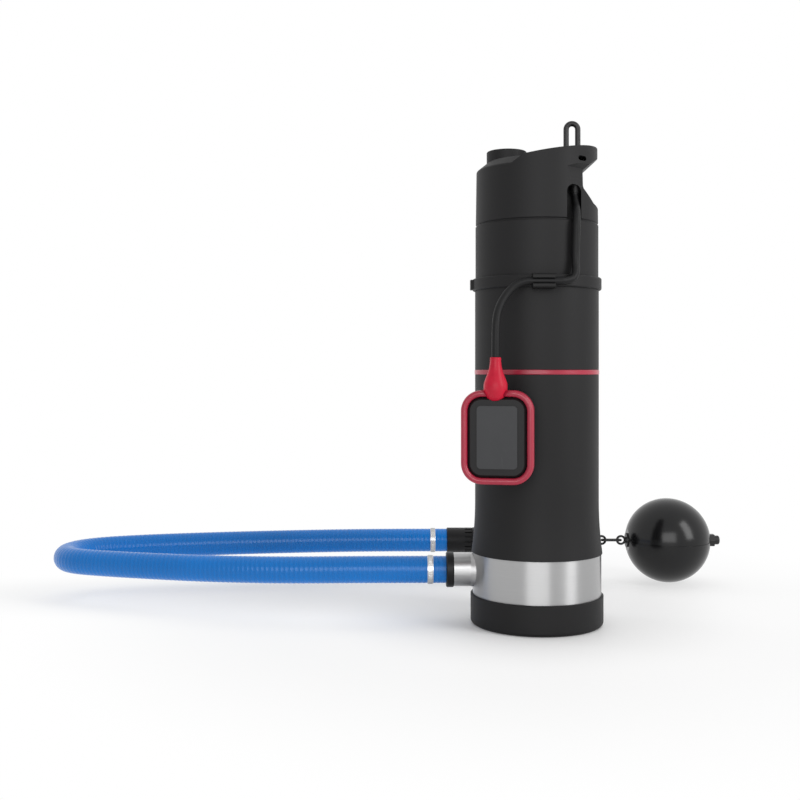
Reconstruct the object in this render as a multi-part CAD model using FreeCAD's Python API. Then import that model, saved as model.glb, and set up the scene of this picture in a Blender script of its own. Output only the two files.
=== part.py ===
import FreeCAD, Part
import math
import os

V = FreeCAD.Vector
X_AXIS = V(1, 0, 0)
Y_AXIS = V(0, 1, 0)
Z_AXIS = V(0, 0, 1)

# Frame: the origin is the centre of the base's underside, Z points up the pump,
# X runs away from the suction inlet and Y runs away from the float switch.

# Clearances
RUN_GAP = 0.05
LOOSE_GAP = 0.3
ROTOR_GAP = 0.5
PART_GAP = 0.35

# Base cap and suction band
BASE_H = 34.0
BASE_WALL = 3.0
BASE_FLOOR = 5.0
BASE_EDGE = 4.5
BAND_WALL = 1.2
BAND_TOP = 81.0
BAND_LAP = 8.0
SPIGOT_L = 4.0

# Casing sleeves, from the bottom up, round the stages' bowls
BOWL_R = 60.0
WATERWAY = 6.8
SLEEVE_WALL = 3.0
SLEEVE_R = BOWL_R + WATERWAY + SLEEVE_WALL
SLEEVE_FLARE = 4.0
SLEEVE_FOOT_R = SLEEVE_R + SLEEVE_FLARE
SLEEVE_FOOT_TOP = 139.0
BAND_INSET = 1.2
BAND_R = SLEEVE_FOOT_R - BAND_INSET
BASE_PROUD = 2.4
BASE_R = BAND_R + BASE_PROUD
ACCENT_Z = 282.0
ACCENT_H = 5.4
ACCENT_PROUD = 0.5
ACCENT_R = SLEEVE_R + ACCENT_PROUD
RING_Z = 377.0
RING_H = 13.5
RING_PROUD = 3.0
RING_R = SLEEVE_R + RING_PROUD
RING_EDGE = 1.8
LUG_REACH = 2.6
LUG_W = 14.0
LUG_INSET = 1.2
UPPER_INSET = 0.5
UPPER_R = SLEEVE_R - UPPER_INSET
DECK_Z = 450.0
DECK_T = 5.0
DECK_EDGE = 0.8

# Head
HEAD_INSET = 0.3
HEAD_R = UPPER_R - HEAD_INSET
HEAD_TAPER = 0.8
HEAD_TOP_R = HEAD_R - HEAD_TAPER
HEAD_SHOULDER_Z = 512.0
HEAD_TOP_Z = 521.5
HEAD_CROWN_INSET = 12.0
HEAD_CROWN_R = HEAD_TOP_R - HEAD_CROWN_INSET
HEAD_WALL = 3.0
HEAD_FOOT_WALL = 3.3
HEAD_SEAM = 1.2
CROWN_START_X = -21.0
CROWN_RAMP = 14.0
NOSE_TOP_Z = 537.0
NOSE_TIP_Z = 526.0
NOSE_ROOT_Z = 506.5
FLAT_DEPTH = 23.2
FLAT_X = HEAD_TOP_R - FLAT_DEPTH
FLAT_FOOT_Z = 485.5
FLAT_LIP_W = 10.4
FLAT_SLOPE_X = HEAD_R - FLAT_LIP_W
FLAT_SLOPE_Z = 471.5
FLAT_LIP_Z = 467.0
FACET_ANGLE = -46.0
FACET_INSET = 5.0
FACET_FOOT_INSET = 3.0
FACET_R = HEAD_TOP_R - FACET_INSET
FACET_FOOT_R = HEAD_TOP_R - FACET_FOOT_INSET
FACET_FOOT_Z = 489.0
FACET_TOP_Z = 508.0
ROPE_SLOT_X = 43.5
ROPE_SLOT_Z = 518.2
ROPE_SLOT_L = 10.0
ROPE_SLOT_W = 5.4

# Outlet with its screwed insert and non-return valve
OUTLET_X = -34.0
OUTLET_R = 22.7
OUTLET_TOP_Z = 535.0
PORT_R = 15.15
PORT_L = 20.0
INSERT_R = 18.0
VALVE_BORE_R = 17.0
VALVE_SEAT_Z = 468.0
VALVE_SEAT_R = 11.0
VALVE_DISC_R = 14.0
VALVE_DISC_T = 3.0
VALVE_LIFT = 8.0
VALVE_STEM_R = 2.5
SPRING_CLOSED_H = 15.0
SPRING_COIL_R = 6.5

# Lifting eye
EYE_WIRE_R = 3.1
EYE_X = 40.3
EYE_HALF_W = 6.6
EYE_TOP_Z = 570.5
EYE_FOOT_Z = 528.5

# Motor and shaft
CAN_R = 52.0
CAN_WALL = 1.5
CAN_Z = 250.0
CAN_TOP = 432.0
CAN_COVER_T = 12.0
COVER_FLANGE_T = 5.0
COVER_FOOT_W = 7.0
COVER_POST_R = 4.0
COVER_POST_INSET = 2.5
STATOR_Z = 288.0
STATOR_H = 92.0
STATOR_BORE_R = 28.0
STATOR_SLOTS = 12
SLOT_DEPTH = 13.0
SLOT_W = 7.0
SLOT_MARGIN = 2.5
WINDING_H = 14.0
SHAFT_R = 8.0
SHAFT_Z = 84.0
SHAFT_TOP = 428.0
SHAFT_END = 3.0
SHAFT_NUT_R = 13.0
SHAFT_NUT_H = 9.0
BEARING_R = 18.0
BEARING_H = 12.0
SEAL_SEAT_H = 8.0
SEAL_FACE_H = 9.0
SEAL_R = 15.0

# Pump stages
STAGES = 3
STAGE_Z = 98.0
STAGE_H = 38.0
BOWL_WALL = 2.0
BOWL_PLATE = 2.5
IMPELLER_R = 46.0
IMPELLER_H = 17.0
IMPELLER_EYE_R = 20.0
IMPELLER_PLATE = 2.0
IMPELLER_HUB_R = 12.0
IMPELLER_VANES = 6
GUIDE_VANES = 7
VANE_T = 2.0
VANE_SWEEP = 55.0

# Suction line: inlet at the front, return run behind the pump
INLET_Z = 60.2
STUB_R = 18.7
STUB_WALL = 1.5
STUB_END_X = -94.5
STUB_FLARE_R = 21.5
NUT_R = 19.8
NUT_END_X = -103.0
HOSE_R = 15.15
HOSE_ROOT_R = 14.1
HOSE_BORE_R = 12.5
HOSE_RIBS = 180
TAIL_LENGTH = 32.0
TAIL_BORE_R = 9.5
CLAMP_W = 6.5
CLAMP_T = 0.9
HOUSING_W = 7.5
HOUSING_H = 5.0
HOUSING_L = 12.0
CLAMP_SCREW_R = 2.6
CLAMP_SCREW_L = 16.0
CLAMP_SCREW_UP = 2.4
CLAMP_X = -121.0
LINE_Y = 242.0
LINE_Z = 56.5
LINE_START_X = -92.0
LINE_CLAMP_X = -111.0
SOCKET_R = 16.75
SOCKET_END_X = -58.0
SOCKET_BORE_R = 12.9
FOOT_SEAT_R = 8.0
FOOT_SEAT_T = 3.0
FOOT_DISC_R = 11.0
FOOT_DISC_T = 2.5
FOOT_LIFT = 6.0
FOOT_STEM_R = 1.8
BASKET_R = 21.0
BASKET_WALL = 2.0
BASKET_END_X = 104.0
BASKET_CONE_X = -34.0
BASKET_SLOTS = 16
BASKET_SLOT_W = 2.4
BASKET_ROWS = 4
BASKET_RING_W = 6.0
CAP_END_X = 110.5

# Chain link, eyes and ball float
CHAIN_WIRE_R = 1.5
EYE_RING_R = 5.25
CAP_EYE_REACH = 7.8
CAP_EYE_X = CAP_END_X + CAP_EYE_REACH
LINK_WIRE_R = 1.4
LINK_HALF_W = 3.5
LINK_L = 26.2
BALL_EYE_X = CAP_EYE_X + LINK_L
BALL_NECK_L = 8.6
BALL_R = 56.5
BALL_WALL = 2.0
BALL_FLAT = 54.5
BALL_X = BALL_EYE_X + BALL_NECK_L + BALL_FLAT
BALL_SEAM_DEPTH = 1.0
BALL_SEAM_W = 1.2
BOLT_R = 4.0
WASHER_R = 9.5
WASHER_T = 2.0
BALL_NUT_R = 8.9
BALL_NUT_H = 6.5
BOLT_TAIL = 7.0
BOLT_TAIL_R = 6.0

# Float switch, turned a little about the upright through its centre
FLOAT_X = -50.3
FLOAT_STANDOFF = 13.0
FLOAT_Y = -(SLEEVE_R + FLOAT_STANDOFF)
FLOAT_Z = 216.2
FLOAT_TURN = -12.0
FLOAT_W = 76.8
FLOAT_H = 99.2
FLOAT_T = 38.0
FLOAT_CORNER = 22.0
FLOAT_WALL = 2.0
RIM_T = 7.0
RIM_D = 13.0
FRAME_DEPTH = 3.0
PANEL_W = 42.6
PANEL_H = 66.0
PANEL_T = 1.4
PANEL_CORNER = 4.0
BOOT_OFFSET_X = -2.0
BOOT_OFFSET_Y = -12.5
BOOT_TOP_Z = 300.0
BOOT_TOP_R = 5.7
BOOT_BELLY_Z = 271.5
BOOT_BELLY_R = 12.4
BOOT_FOOT_Z = 254.0
MODULE_W = 26.0
MODULE_H = 60.0
MODULE_D = 22.0
MODULE_Y = -6.0
TILT_BALL_R = 8.0
TILT_TRAVEL = 20.0

# Cable of the float switch
CABLE_R = 4.25
CABLE_ANGLE = -63.0
CABLE_STANDOFF = 0.85
CABLE_HOLD_R = UPPER_R + CABLE_R + CABLE_STANDOFF
NICHE_X = 33.5
NICHE_W = 17.0
NICHE_DEPTH = 30.5
NICHE_Y = -(HEAD_R - NICHE_DEPTH)
NICHE_TOP_Z = 489.0
GLAND_X = 36.8
GLAND_BACK = 7.0
GLAND_Y = NICHE_Y - GLAND_BACK
GLAND_R = 6.0
GLAND_H = 13.0
CLIP_X0 = -14.0
CLIP_X1 = 10.0
CLIP_WALL = 3.0
CLIP_REACH = 5.4
CLIP_Y = -(RING_R + CLIP_REACH)
CLIP_Z = 382.2
PIVOT_X = CLIP_X0 - CABLE_R - PART_GAP

# Second gland for the supply cable, at the back of the head
POWER_GLAND_R = 9.0
POWER_GLAND_L = 16.0
POWER_GLAND_Z = 478.0
POWER_CABLE_R = 5.0

# Fasteners and seals
SCREW_R = 2.5
SCREW_HEAD_R = 4.6
SCREW_HEAD_H = 4.0
SCREW_L = 30.0
SCREW_COUNT = 4
HEAD_SCREW_INSET = 17.3
HEAD_SCREW_PCD_R = UPPER_R - HEAD_SCREW_INSET
HEAD_SCREW_ANGLES = (45, 135, 225, 288)
BASE_SCREW_INSET = 2.0
BASE_SCREW_PCD_R = BOWL_R - BASE_SCREW_INSET
SEAL_CORD_R = 1.6

# Control board in the head, with its parts, and the run capacitor beside them
BOARD_X0 = -10.0
BOARD_X1 = 30.0
BOARD_HALF_W = 33.0
BOARD_T = 1.6
STANDOFF_H = 7.0
STANDOFF_R = 2.2
STANDOFF_INSET = 4.0
RELAY_H = 13.4
CHIP_H = 2.4
TERMINAL_H = 9.4
CAPACITOR_R = 12.0
CAPACITOR_H = 34.0
CAPACITOR_X = 12.0
CAPACITOR_Y = 20.0
CAPACITOR_EDGE = 2.0

HOSE_ROUTE = [
    V(NUT_END_X, 0, INLET_Z), V(-190, 0, INLET_Z), V(-290, 4, 58.6), V(-378, 19, 57.6),
    V(-450, 43, 56.4), V(-508, 64, 55.6), V(-554, 85, 55.0), V(-572.5, 115, 54.6),
    V(-570.5, 149, 54.4), V(-550, 177, 54.5), V(-503, 196, 54.9), V(-440, 210, 55.4),
    V(-355, 224, 55.9), V(-260, 236, 56.3), V(-170, LINE_Y, LINE_Z), V(LINE_START_X, LINE_Y, LINE_Z)]


# Shared shapes

def cylinder(radius, z0, z1, x=0.0, y=0.0):
    """A solid cylinder along Z."""
    return Part.makeCylinder(radius, z1 - z0, V(x, y, z0), Z_AXIS)


def tube(outer, inner, z0, z1, x=0.0, y=0.0):
    """A pipe along Z."""
    return cylinder(outer, z0, z1, x, y).cut(cylinder(inner, z0 - 1, z1 + 1, x, y))


def rod_x(radius, x0, x1, y, z):
    """A solid cylinder along X."""
    return Part.makeCylinder(radius, x1 - x0, V(x0, y, z), X_AXIS)


def pipe_x(outer, inner, x0, x1, y, z):
    """A pipe along X."""
    return rod_x(outer, x0, x1, y, z).cut(rod_x(inner, x0 - 1, x1 + 1, y, z))


def cone_x(r0, r1, x0, x1, y, z):
    """A cone along X, from radius r0 at x0 to r1 at x1."""
    return Part.makeCone(r0, r1, x1 - x0, V(x0, y, z), X_AXIS)


def box(x0, x1, y0, y1, z0, z1):
    """A block between two corners."""
    return Part.makeBox(x1 - x0, y1 - y0, z1 - z0, V(x0, y0, z0))


def turned(edges):
    """A solid turned about Z from a closed outline in the XZ plane."""
    face = Part.Face(Part.Wire(edges))
    return face.revolve(V(0, 0, 0), Z_AXIS, 360)


def polygon_edges(points):
    """Straight edges round a closed outline of (x, z) points."""
    corners = [V(x, 0, z) for x, z in points]
    return [Part.LineSegment(a, b).toShape() for a, b in zip(corners, corners[1:] + corners[:1])]


def polygon_face(points, y=0.0):
    """A flat face in the XZ plane from (x, z) points."""
    corners = [V(x, y, z) for x, z in points]
    return Part.Face(Part.makePolygon(corners + corners[:1]))


def ring(wire_r, ring_r, centre, axis):
    """A round wire bent to a ring."""
    return Part.makeTorus(ring_r, wire_r, centre, axis)


def at_angles(shape, angles):
    """Copies of a shape, turned about the Z axis by each angle."""
    copies = []
    for angle in angles:
        copy = shape.copy()
        copy.rotate(V(0, 0, 0), Z_AXIS, angle)
        copies.append(copy)
    return copies


def around_z(shape, count, start=0.0):
    """Copies of a shape, evenly spaced round the Z axis."""
    return at_angles(shape, [start + index * 360.0 / count for index in range(count)])


def at_cable_angle(radius, z):
    """A point at the held cable's angle round the pump."""
    angle = math.radians(CABLE_ANGLE)
    return V(radius * math.cos(angle), radius * math.sin(angle), z)


def route_wire(points, label):
    """Straight runs joined by tangent arcs, each as large as its two runs allow."""
    edges = []
    start = points[0]
    radii = []
    for index in range(1, len(points) - 1):
        before = points[index - 1] - points[index]
        after = points[index + 1] - points[index]
        half_turn = (math.pi - before.getAngle(after)) / 2
        reach = 0.45 * min(before.Length, after.Length)
        radius = reach / math.tan(half_turn)
        radii.append(radius)
        before.normalize()
        after.normalize()
        enter = points[index] + before * reach
        leave = points[index] + after * reach
        inward = before + after
        inward.normalize()
        middle = points[index] + inward * (radius / math.cos(half_turn) - radius)
        edges.append(Part.LineSegment(start, enter).toShape())
        edges.append(Part.Arc(enter, middle, leave).toShape())
        start = leave
    edges.append(Part.LineSegment(start, points[-1]).toShape())
    wire = Part.Wire(edges)
    print(label, "length", round(wire.Length, 1), "radii", [round(r) for r in radii])
    return wire


def route_tube(points, radius, label):
    """A round tube along a route, with its volume set against its length."""
    wire = route_wire(points, label)
    section = Part.Wire(Part.makeCircle(radius, points[0], points[1] - points[0]))
    solid = wire.makePipeShell([section], True, False)
    share = solid.Volume / (math.pi * radius ** 2 * wire.Length)
    print(label, "volume over section times length", round(share, 4))
    return solid


# Base and suction band

def base_cap():
    """The black cup that the pump stands on."""
    cap = cylinder(BASE_R, 0, BASE_H)
    cap = cap.makeFillet(BASE_EDGE, [cap.Edges[2]])
    top_edges = [e for e in cap.Edges if abs(e.BoundBox.ZMin - BASE_H) < 0.01 and e.BoundBox.ZLength < 0.01]
    cap = cap.makeChamfer(0.8, top_edges)
    cap = cap.cut(cylinder(BASE_R - BASE_WALL, BASE_H - BAND_LAP, BASE_H + 1))
    cap = cap.cut(cylinder(BAND_R, BASE_H - BAND_LAP, BASE_H + 1))
    cap = cap.cut(cylinder(BASE_R - BASE_WALL * 2, BASE_FLOOR, BASE_H + 1))
    post = cylinder(SCREW_HEAD_R + 2, BASE_FLOOR, BASE_H - BAND_LAP, BASE_SCREW_PCD_R)
    cap = cap.fuse(around_z(post, SCREW_COUNT, 45))
    for screw in base_screw_set():
        cap = cap.cut(screw)
    for mouth in around_z(cylinder(SCREW_HEAD_R, -1, SCREW_HEAD_H, BASE_SCREW_PCD_R), SCREW_COUNT, 45):
        cap = cap.cut(mouth)
    return cap


def base_screw_set():
    """Screws up through the base's floor, heads sunk under it."""
    head = cylinder(SCREW_HEAD_R, SCREW_HEAD_H * 0.5, SCREW_HEAD_H * 1.5, BASE_SCREW_PCD_R)
    shank = cylinder(SCREW_R, SCREW_HEAD_H, SCREW_HEAD_H + SCREW_L, BASE_SCREW_PCD_R)
    return around_z(head.fuse(shank), SCREW_COUNT, 45)


def head_screw_set():
    """Screws down through the deck into the head's posts."""
    shank = cylinder(SCREW_R, DECK_Z - DECK_T, DECK_Z + SCREW_L, HEAD_SCREW_PCD_R)
    head = cylinder(SCREW_HEAD_R, DECK_Z - DECK_T - SCREW_HEAD_H, DECK_Z - DECK_T, HEAD_SCREW_PCD_R)
    return at_angles(head.fuse(shank), HEAD_SCREW_ANGLES)


def cover_screws():
    """All the cover screws, as separate solids."""
    return Part.makeCompound(base_screw_set() + head_screw_set())


def suction_band():
    """The steel inlet ring with its welded inlet stub."""
    band = cylinder(BAND_R, BASE_H - BAND_LAP, BAND_TOP)
    flare = cone_x(STUB_R, STUB_FLARE_R, -BAND_R - 3, -BAND_R + 12, 0, INLET_Z)
    stub = rod_x(STUB_R, STUB_END_X, -BAND_R + 12, 0, INLET_Z)
    band = band.fuse(flare).fuse(stub)
    hollow = cylinder(BAND_R - BAND_WALL, BASE_H - BAND_LAP - 1, BAND_TOP + 1)
    bore = rod_x(STUB_R - STUB_WALL, STUB_END_X - 1, 0, 0, INLET_Z)
    return band.cut(hollow).cut(bore)


# Casing sleeves

def lower_sleeve():
    """The long lower sleeve, flared out at its foot, with a spigot inside the suction band."""
    foot_rise = SLEEVE_FOOT_TOP - BAND_TOP
    foot_reach = SLEEVE_FOOT_R - SLEEVE_R
    bend = (foot_rise ** 2 + foot_reach ** 2) / (2 * foot_reach)
    half = foot_rise / 2
    bow = SLEEVE_R + bend - math.sqrt(bend ** 2 - half ** 2)
    inner = SLEEVE_R - SLEEVE_WALL
    spigot = BAND_R - BAND_WALL
    spigot_z = BAND_TOP - SPIGOT_L
    foot = V(SLEEVE_FOOT_R, 0, BAND_TOP)
    waist = V(SLEEVE_R, 0, SLEEVE_FOOT_TOP)
    top = V(SLEEVE_R, 0, ACCENT_Z)
    curve = Part.Arc(foot, V(bow, 0, BAND_TOP + half), waist).toShape()
    spigot_bore = spigot - SLEEVE_WALL
    inside = [V(inner, 0, ACCENT_Z), V(inner, 0, BAND_TOP + half), V(spigot_bore, 0, BAND_TOP)]
    corners = [waist, top] + inside + [V(spigot_bore, 0, spigot_z), V(spigot, 0, spigot_z),
                                       V(spigot, 0, BAND_TOP), foot]
    edges = [Part.LineSegment(a, b).toShape() for a, b in zip(corners, corners[1:])]
    return turned([curve] + edges)


def accent_band():
    """The crimson trim ring between the two long sleeves."""
    trim = tube(ACCENT_R, SLEEVE_R - SLEEVE_WALL, ACCENT_Z, ACCENT_Z + ACCENT_H)
    outer_edges = [e for e in trim.Edges if e.BoundBox.XMax > ACCENT_R - 0.01 and e.BoundBox.ZLength < 0.01]
    return trim.makeFillet(0.9, outer_edges)


def middle_sleeve():
    """The sleeve between the trim ring and the collar ring."""
    return tube(SLEEVE_R, SLEEVE_R - SLEEVE_WALL, ACCENT_Z + ACCENT_H, RING_Z)


def collar_ring():
    """The proud ring that joins the two upper sleeves and carries the cable clip, with its lug on one side."""
    collar = tube(RING_R, SLEEVE_R - SLEEVE_WALL, RING_Z, RING_Z + RING_H)
    outer_edges = [e for e in collar.Edges if e.BoundBox.XMax > RING_R - 0.01 and e.BoundBox.ZLength < 0.01]
    collar = collar.makeFillet(RING_EDGE, outer_edges)
    foot = RING_Z + LUG_INSET
    lug = box(-RING_R - LUG_REACH, -SLEEVE_R, -LUG_W / 2, LUG_W / 2, foot, RING_Z + RING_H - LUG_INSET)
    corners = [e for e in lug.Edges if e.BoundBox.XMax < -RING_R and e.BoundBox.YLength < 0.01]
    return collar.fuse(lug.makeFillet(RING_EDGE, corners)).removeSplitter()


def upper_sleeve():
    """The top sleeve, closed by the deck that carries the head."""
    bottom = RING_Z + RING_H
    sleeve = tube(UPPER_R, SLEEVE_R - SLEEVE_WALL, bottom, DECK_Z)
    rim = [e for e in sleeve.Edges if e.BoundBox.ZMin > DECK_Z - 0.01 and e.BoundBox.XMax > UPPER_R - 0.01]
    sleeve = sleeve.makeChamfer(DECK_EDGE, rim)
    deck = cylinder(UPPER_R - SLEEVE_WALL / 2, DECK_Z - DECK_T, DECK_Z)
    sleeve = sleeve.fuse(deck)
    sleeve = sleeve.cut(cylinder(OUTLET_R - 2, DECK_Z - DECK_T - 1, DECK_Z + 1, OUTLET_X))
    sleeve = sleeve.cut(outlet_groove())
    for screw in head_screw_set():
        sleeve = sleeve.cut(screw)
    return sleeve.removeSplitter()


# Head

def head_outline():
    """The head's outer body before its hollow is cut."""
    seam = DECK_Z + HEAD_SEAM
    foot = [(0, DECK_Z), (HEAD_R - HEAD_SEAM, DECK_Z), (HEAD_R - HEAD_SEAM, seam), (HEAD_R, seam + HEAD_SEAM),
            (HEAD_TOP_R, HEAD_SHOULDER_Z)]
    body = turned(polygon_edges(foot + [(HEAD_CROWN_R, HEAD_TOP_Z), (0, HEAD_TOP_Z)]))
    rims = [e for e in body.Edges
            if e.BoundBox.ZLength < 0.01 and abs(e.BoundBox.ZMin - HEAD_SHOULDER_Z) < 0.01]
    body = body.makeFillet(3.0, rims)
    boss = cylinder(OUTLET_R, HEAD_TOP_Z - 10, OUTLET_TOP_Z, OUTLET_X)
    lip = [e for e in boss.Edges if abs(e.BoundBox.ZMin - OUTLET_TOP_Z) < 0.01]
    boss = boss.makeFillet(1.5, lip)
    body = body.fuse([boss, crown()])
    return body.cut(side_notch()).cut(facet(0.0)).removeSplitter()


def crown():
    """The sloped top that rises from the outlet to the nose."""
    foot_z = HEAD_SHOULDER_Z - 6
    start = CROWN_START_X - CROWN_RAMP
    reach = HEAD_TOP_R + 1
    side = [(start, HEAD_SHOULDER_Z), (CROWN_START_X, HEAD_TOP_Z), (HEAD_TOP_R, NOSE_TOP_Z),
            (reach, NOSE_TOP_Z), (reach, foot_z), (start, foot_z)]
    block = polygon_face(side, -reach).extrude(V(0, 2 * reach, 0))
    wall = cylinder(HEAD_TOP_R, foot_z, NOSE_TOP_Z + 1)
    block = block.common(wall)
    rims = [e for e in block.Edges if e.BoundBox.ZMax > NOSE_TOP_Z - 1 and e.BoundBox.XLength > HEAD_TOP_R]
    return block.makeFillet(1.2, rims)


def side_notch():
    """The cutter that leaves the nose over the flat and its outward slope."""
    far = HEAD_R + 20
    rise = (NOSE_TIP_Z - NOSE_ROOT_Z) / (HEAD_TOP_R - FLAT_X)
    outline = [(FLAT_X, NOSE_ROOT_Z), (FLAT_X, FLAT_FOOT_Z), (FLAT_SLOPE_X, FLAT_SLOPE_Z),
               (HEAD_R, FLAT_LIP_Z), (far, FLAT_LIP_Z), (far, NOSE_ROOT_Z + (far - FLAT_X) * rise)]
    return polygon_face(outline, -2 * HEAD_R).extrude(V(0, 4 * HEAD_R, 0))


def facet(grow):
    """The cutter for the slanted facet between the front wall and the flat."""
    far = HEAD_R + 10
    outline = [(FACET_FOOT_R - grow, FACET_FOOT_Z - grow), (FACET_R - grow, FACET_TOP_Z + grow),
               (far, FACET_TOP_Z + far - FACET_R + grow), (far, FACET_FOOT_Z - far + FACET_FOOT_R - grow)]
    cutter = polygon_face(outline, -HEAD_R / 2).extrude(V(0, HEAD_R, 0))
    cutter.rotate(V(0, 0, 0), Z_AXIS, FACET_ANGLE)
    return cutter


def slot_along_y(x, z, length, width):
    """An oblong cutter along Y, long in X."""
    reach = HEAD_R
    half = (length - width) / 2
    middle = box(x - half, x + half, -reach, reach, z - width / 2, z + width / 2)
    ends = [Part.makeCylinder(width / 2, 2 * reach, V(x + side * half, -reach, z), Y_AXIS) for side in (-1, 1)]
    return middle.fuse(ends[0]).fuse(ends[1])


def cable_niche(grow):
    """The arched pocket where the float switch's cable leaves the head."""
    half = NICHE_W / 2 + grow
    arch_z = NICHE_TOP_Z - NICHE_W / 2
    back = NICHE_Y + grow
    block = box(NICHE_X - half, NICHE_X + half, -HEAD_R - 10, back, DECK_Z - 1, arch_z)
    arch = Part.makeCylinder(half, back + HEAD_R + 10, V(NICHE_X, -HEAD_R - 10, arch_z), Y_AXIS)
    return block.fuse(arch)


def roof_z():
    """Height of the head chamber's roof, where the head's wall meets its crown."""
    return HEAD_SHOULDER_Z - HEAD_WALL


def head_hollow():
    """The dry chamber inside the head, clear of its cuts, posts and outlet."""
    foot_r = HEAD_R - HEAD_SEAM - HEAD_FOOT_WALL
    top_r = HEAD_TOP_R - HEAD_WALL
    outline = [(0, DECK_Z), (foot_r, DECK_Z), (top_r, roof_z()), (0, roof_z())]
    chamber = turned(polygon_edges(outline)).fuse(cylinder(foot_r, DECK_Z - 1, DECK_Z))
    reach = HEAD_R + HEAD_TOP_R
    chamber = chamber.cut(box(FLAT_X - HEAD_WALL, reach, -reach, reach, DECK_Z - 2, HEAD_TOP_Z))
    chamber = chamber.cut(cylinder(OUTLET_R, DECK_Z - 2, HEAD_TOP_Z, OUTLET_X))
    chamber = chamber.cut(cable_niche(HEAD_WALL)).cut(facet(HEAD_WALL))
    posts = at_angles(cylinder(SCREW_R + 3, DECK_Z - 2, HEAD_SHOULDER_Z, HEAD_SCREW_PCD_R), HEAD_SCREW_ANGLES)
    return chamber.cut(Part.makeCompound(posts))


def outlet_space():
    """The space of the outlet pipe inside the head."""
    return cylinder(OUTLET_R, DECK_Z - DECK_T - 1, OUTLET_TOP_Z + 1, OUTLET_X)


def head():
    """The head's wall with the cable niche, up to the chamber's roof."""
    below = cylinder(2 * HEAD_R, DECK_Z - DECK_T - 1, roof_z())
    return whole_head().cut(outlet_space()).common(below)


def head_crown():
    """The head's top with its slope, its nose and the rope slot."""
    above = cylinder(2 * HEAD_R, roof_z(), NOSE_TOP_Z + 1)
    return whole_head().cut(outlet_space()).common(above)


def outlet_pipe():
    """The pipe through the head that holds the valve and the insert."""
    return whole_head().common(outlet_space())


def whole_head():
    """The head's wall, crown and outlet pipe in one, cut for all that sits in them."""
    body = head_outline()
    body = body.cut(head_hollow())
    spigot = cylinder(OUTLET_R - 2, DECK_Z - DECK_T, DECK_Z + 1, OUTLET_X)
    body = body.fuse(spigot)
    body = body.cut(cable_niche(0.0))
    body = body.cut(cylinder(VALVE_BORE_R, DECK_Z - DECK_T - 1, OUTLET_TOP_Z + 1, OUTLET_X))
    body = body.cut(cylinder(INSERT_R, OUTLET_TOP_Z - PORT_L, OUTLET_TOP_Z + 1, OUTLET_X))
    body = body.cut(slot_along_y(ROPE_SLOT_X, ROPE_SLOT_Z, ROPE_SLOT_L, ROPE_SLOT_W))
    for screw in head_screw_set():
        body = body.cut(screw)
    body = body.cut(lifting_eye())
    body = body.cut(gland_body())
    body = body.cut(power_gland_body())
    return body


def lifting_eye():
    """The upright wire loop on top of the nose."""
    bend_z = EYE_TOP_Z - EYE_WIRE_R - EYE_HALF_W
    left = V(EYE_X - EYE_HALF_W, 0, EYE_FOOT_Z)
    right = V(EYE_X + EYE_HALF_W, 0, EYE_FOOT_Z)
    left_top = V(left.x, 0, bend_z)
    right_top = V(right.x, 0, bend_z)
    crown = Part.Arc(left_top, V(EYE_X, 0, bend_z + EYE_HALF_W), right_top).toShape()
    up = Part.LineSegment(left, left_top).toShape()
    down = Part.LineSegment(right_top, right).toShape()
    path = Part.Wire([up, crown, down])
    section = Part.Wire(Part.makeCircle(EYE_WIRE_R, left, Z_AXIS))
    return path.makePipeShell([section], True, False)


def discharge_insert():
    """The threaded metal insert in the outlet boss."""
    return tube(INSERT_R, PORT_R, OUTLET_TOP_Z - PORT_L, OUTLET_TOP_Z, OUTLET_X)


def gland_body():
    """The gland's outer body before its bore is cut."""
    top = NICHE_TOP_Z + HEAD_WALL + 2
    return cylinder(GLAND_R, top - GLAND_H, top, GLAND_X, GLAND_Y)


def float_cable_gland():
    """The gland in the niche's ceiling, facing down."""
    foot = gland_body().BoundBox.ZMin
    collar = cylinder(GLAND_R - 1.0, foot - 3, foot, GLAND_X, GLAND_Y)
    bore = cylinder(CABLE_R, foot - 3, foot + 5, GLAND_X, GLAND_Y)
    return gland_body().fuse(collar).cut(bore)


def power_gland_body():
    """The supply cable's gland before its bore is cut, at the back of the head."""
    start = V(0, HEAD_TOP_R - HEAD_WALL - 4, POWER_GLAND_Z)
    thread = Part.makeCylinder(POWER_GLAND_R, HEAD_R - start.y, start, Y_AXIS)
    nut = Part.makeCylinder(POWER_GLAND_R + 2, POWER_GLAND_L - 6, V(0, HEAD_R, POWER_GLAND_Z), Y_AXIS)
    return thread.fuse(nut)


def power_cable_gland():
    """The supply cable's gland, open for its cable."""
    reach = 2 * HEAD_R
    return power_gland_body().cut(Part.makeCylinder(POWER_CABLE_R, reach, V(0, 0, POWER_GLAND_Z), Y_AXIS))


def valve_cage():
    """The seat and guide of the outlet's non-return valve."""
    guide_z = VALVE_SEAT_Z + VALVE_DISC_T + VALVE_LIFT + SPRING_CLOSED_H
    seat = tube(VALVE_BORE_R, VALVE_SEAT_R, VALVE_SEAT_Z - 4, VALVE_SEAT_Z, OUTLET_X)
    wall = tube(VALVE_BORE_R, VALVE_BORE_R - 1.2, VALVE_SEAT_Z, guide_z + 6, OUTLET_X)
    guide = tube(VALVE_STEM_R + 2, VALVE_STEM_R + LOOSE_GAP, guide_z, guide_z + 6, OUTLET_X)
    cage = seat.fuse(wall).fuse(guide)
    for turn in (0, 120, 240):
        arm = box(VALVE_STEM_R + 1, VALVE_BORE_R - 1, -1, 1, guide_z + 1, guide_z + 5)
        arm.rotate(V(0, 0, 0), Z_AXIS, turn)
        arm.translate(V(OUTLET_X, 0, 0))
        cage = cage.fuse(arm)
    return cage


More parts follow.
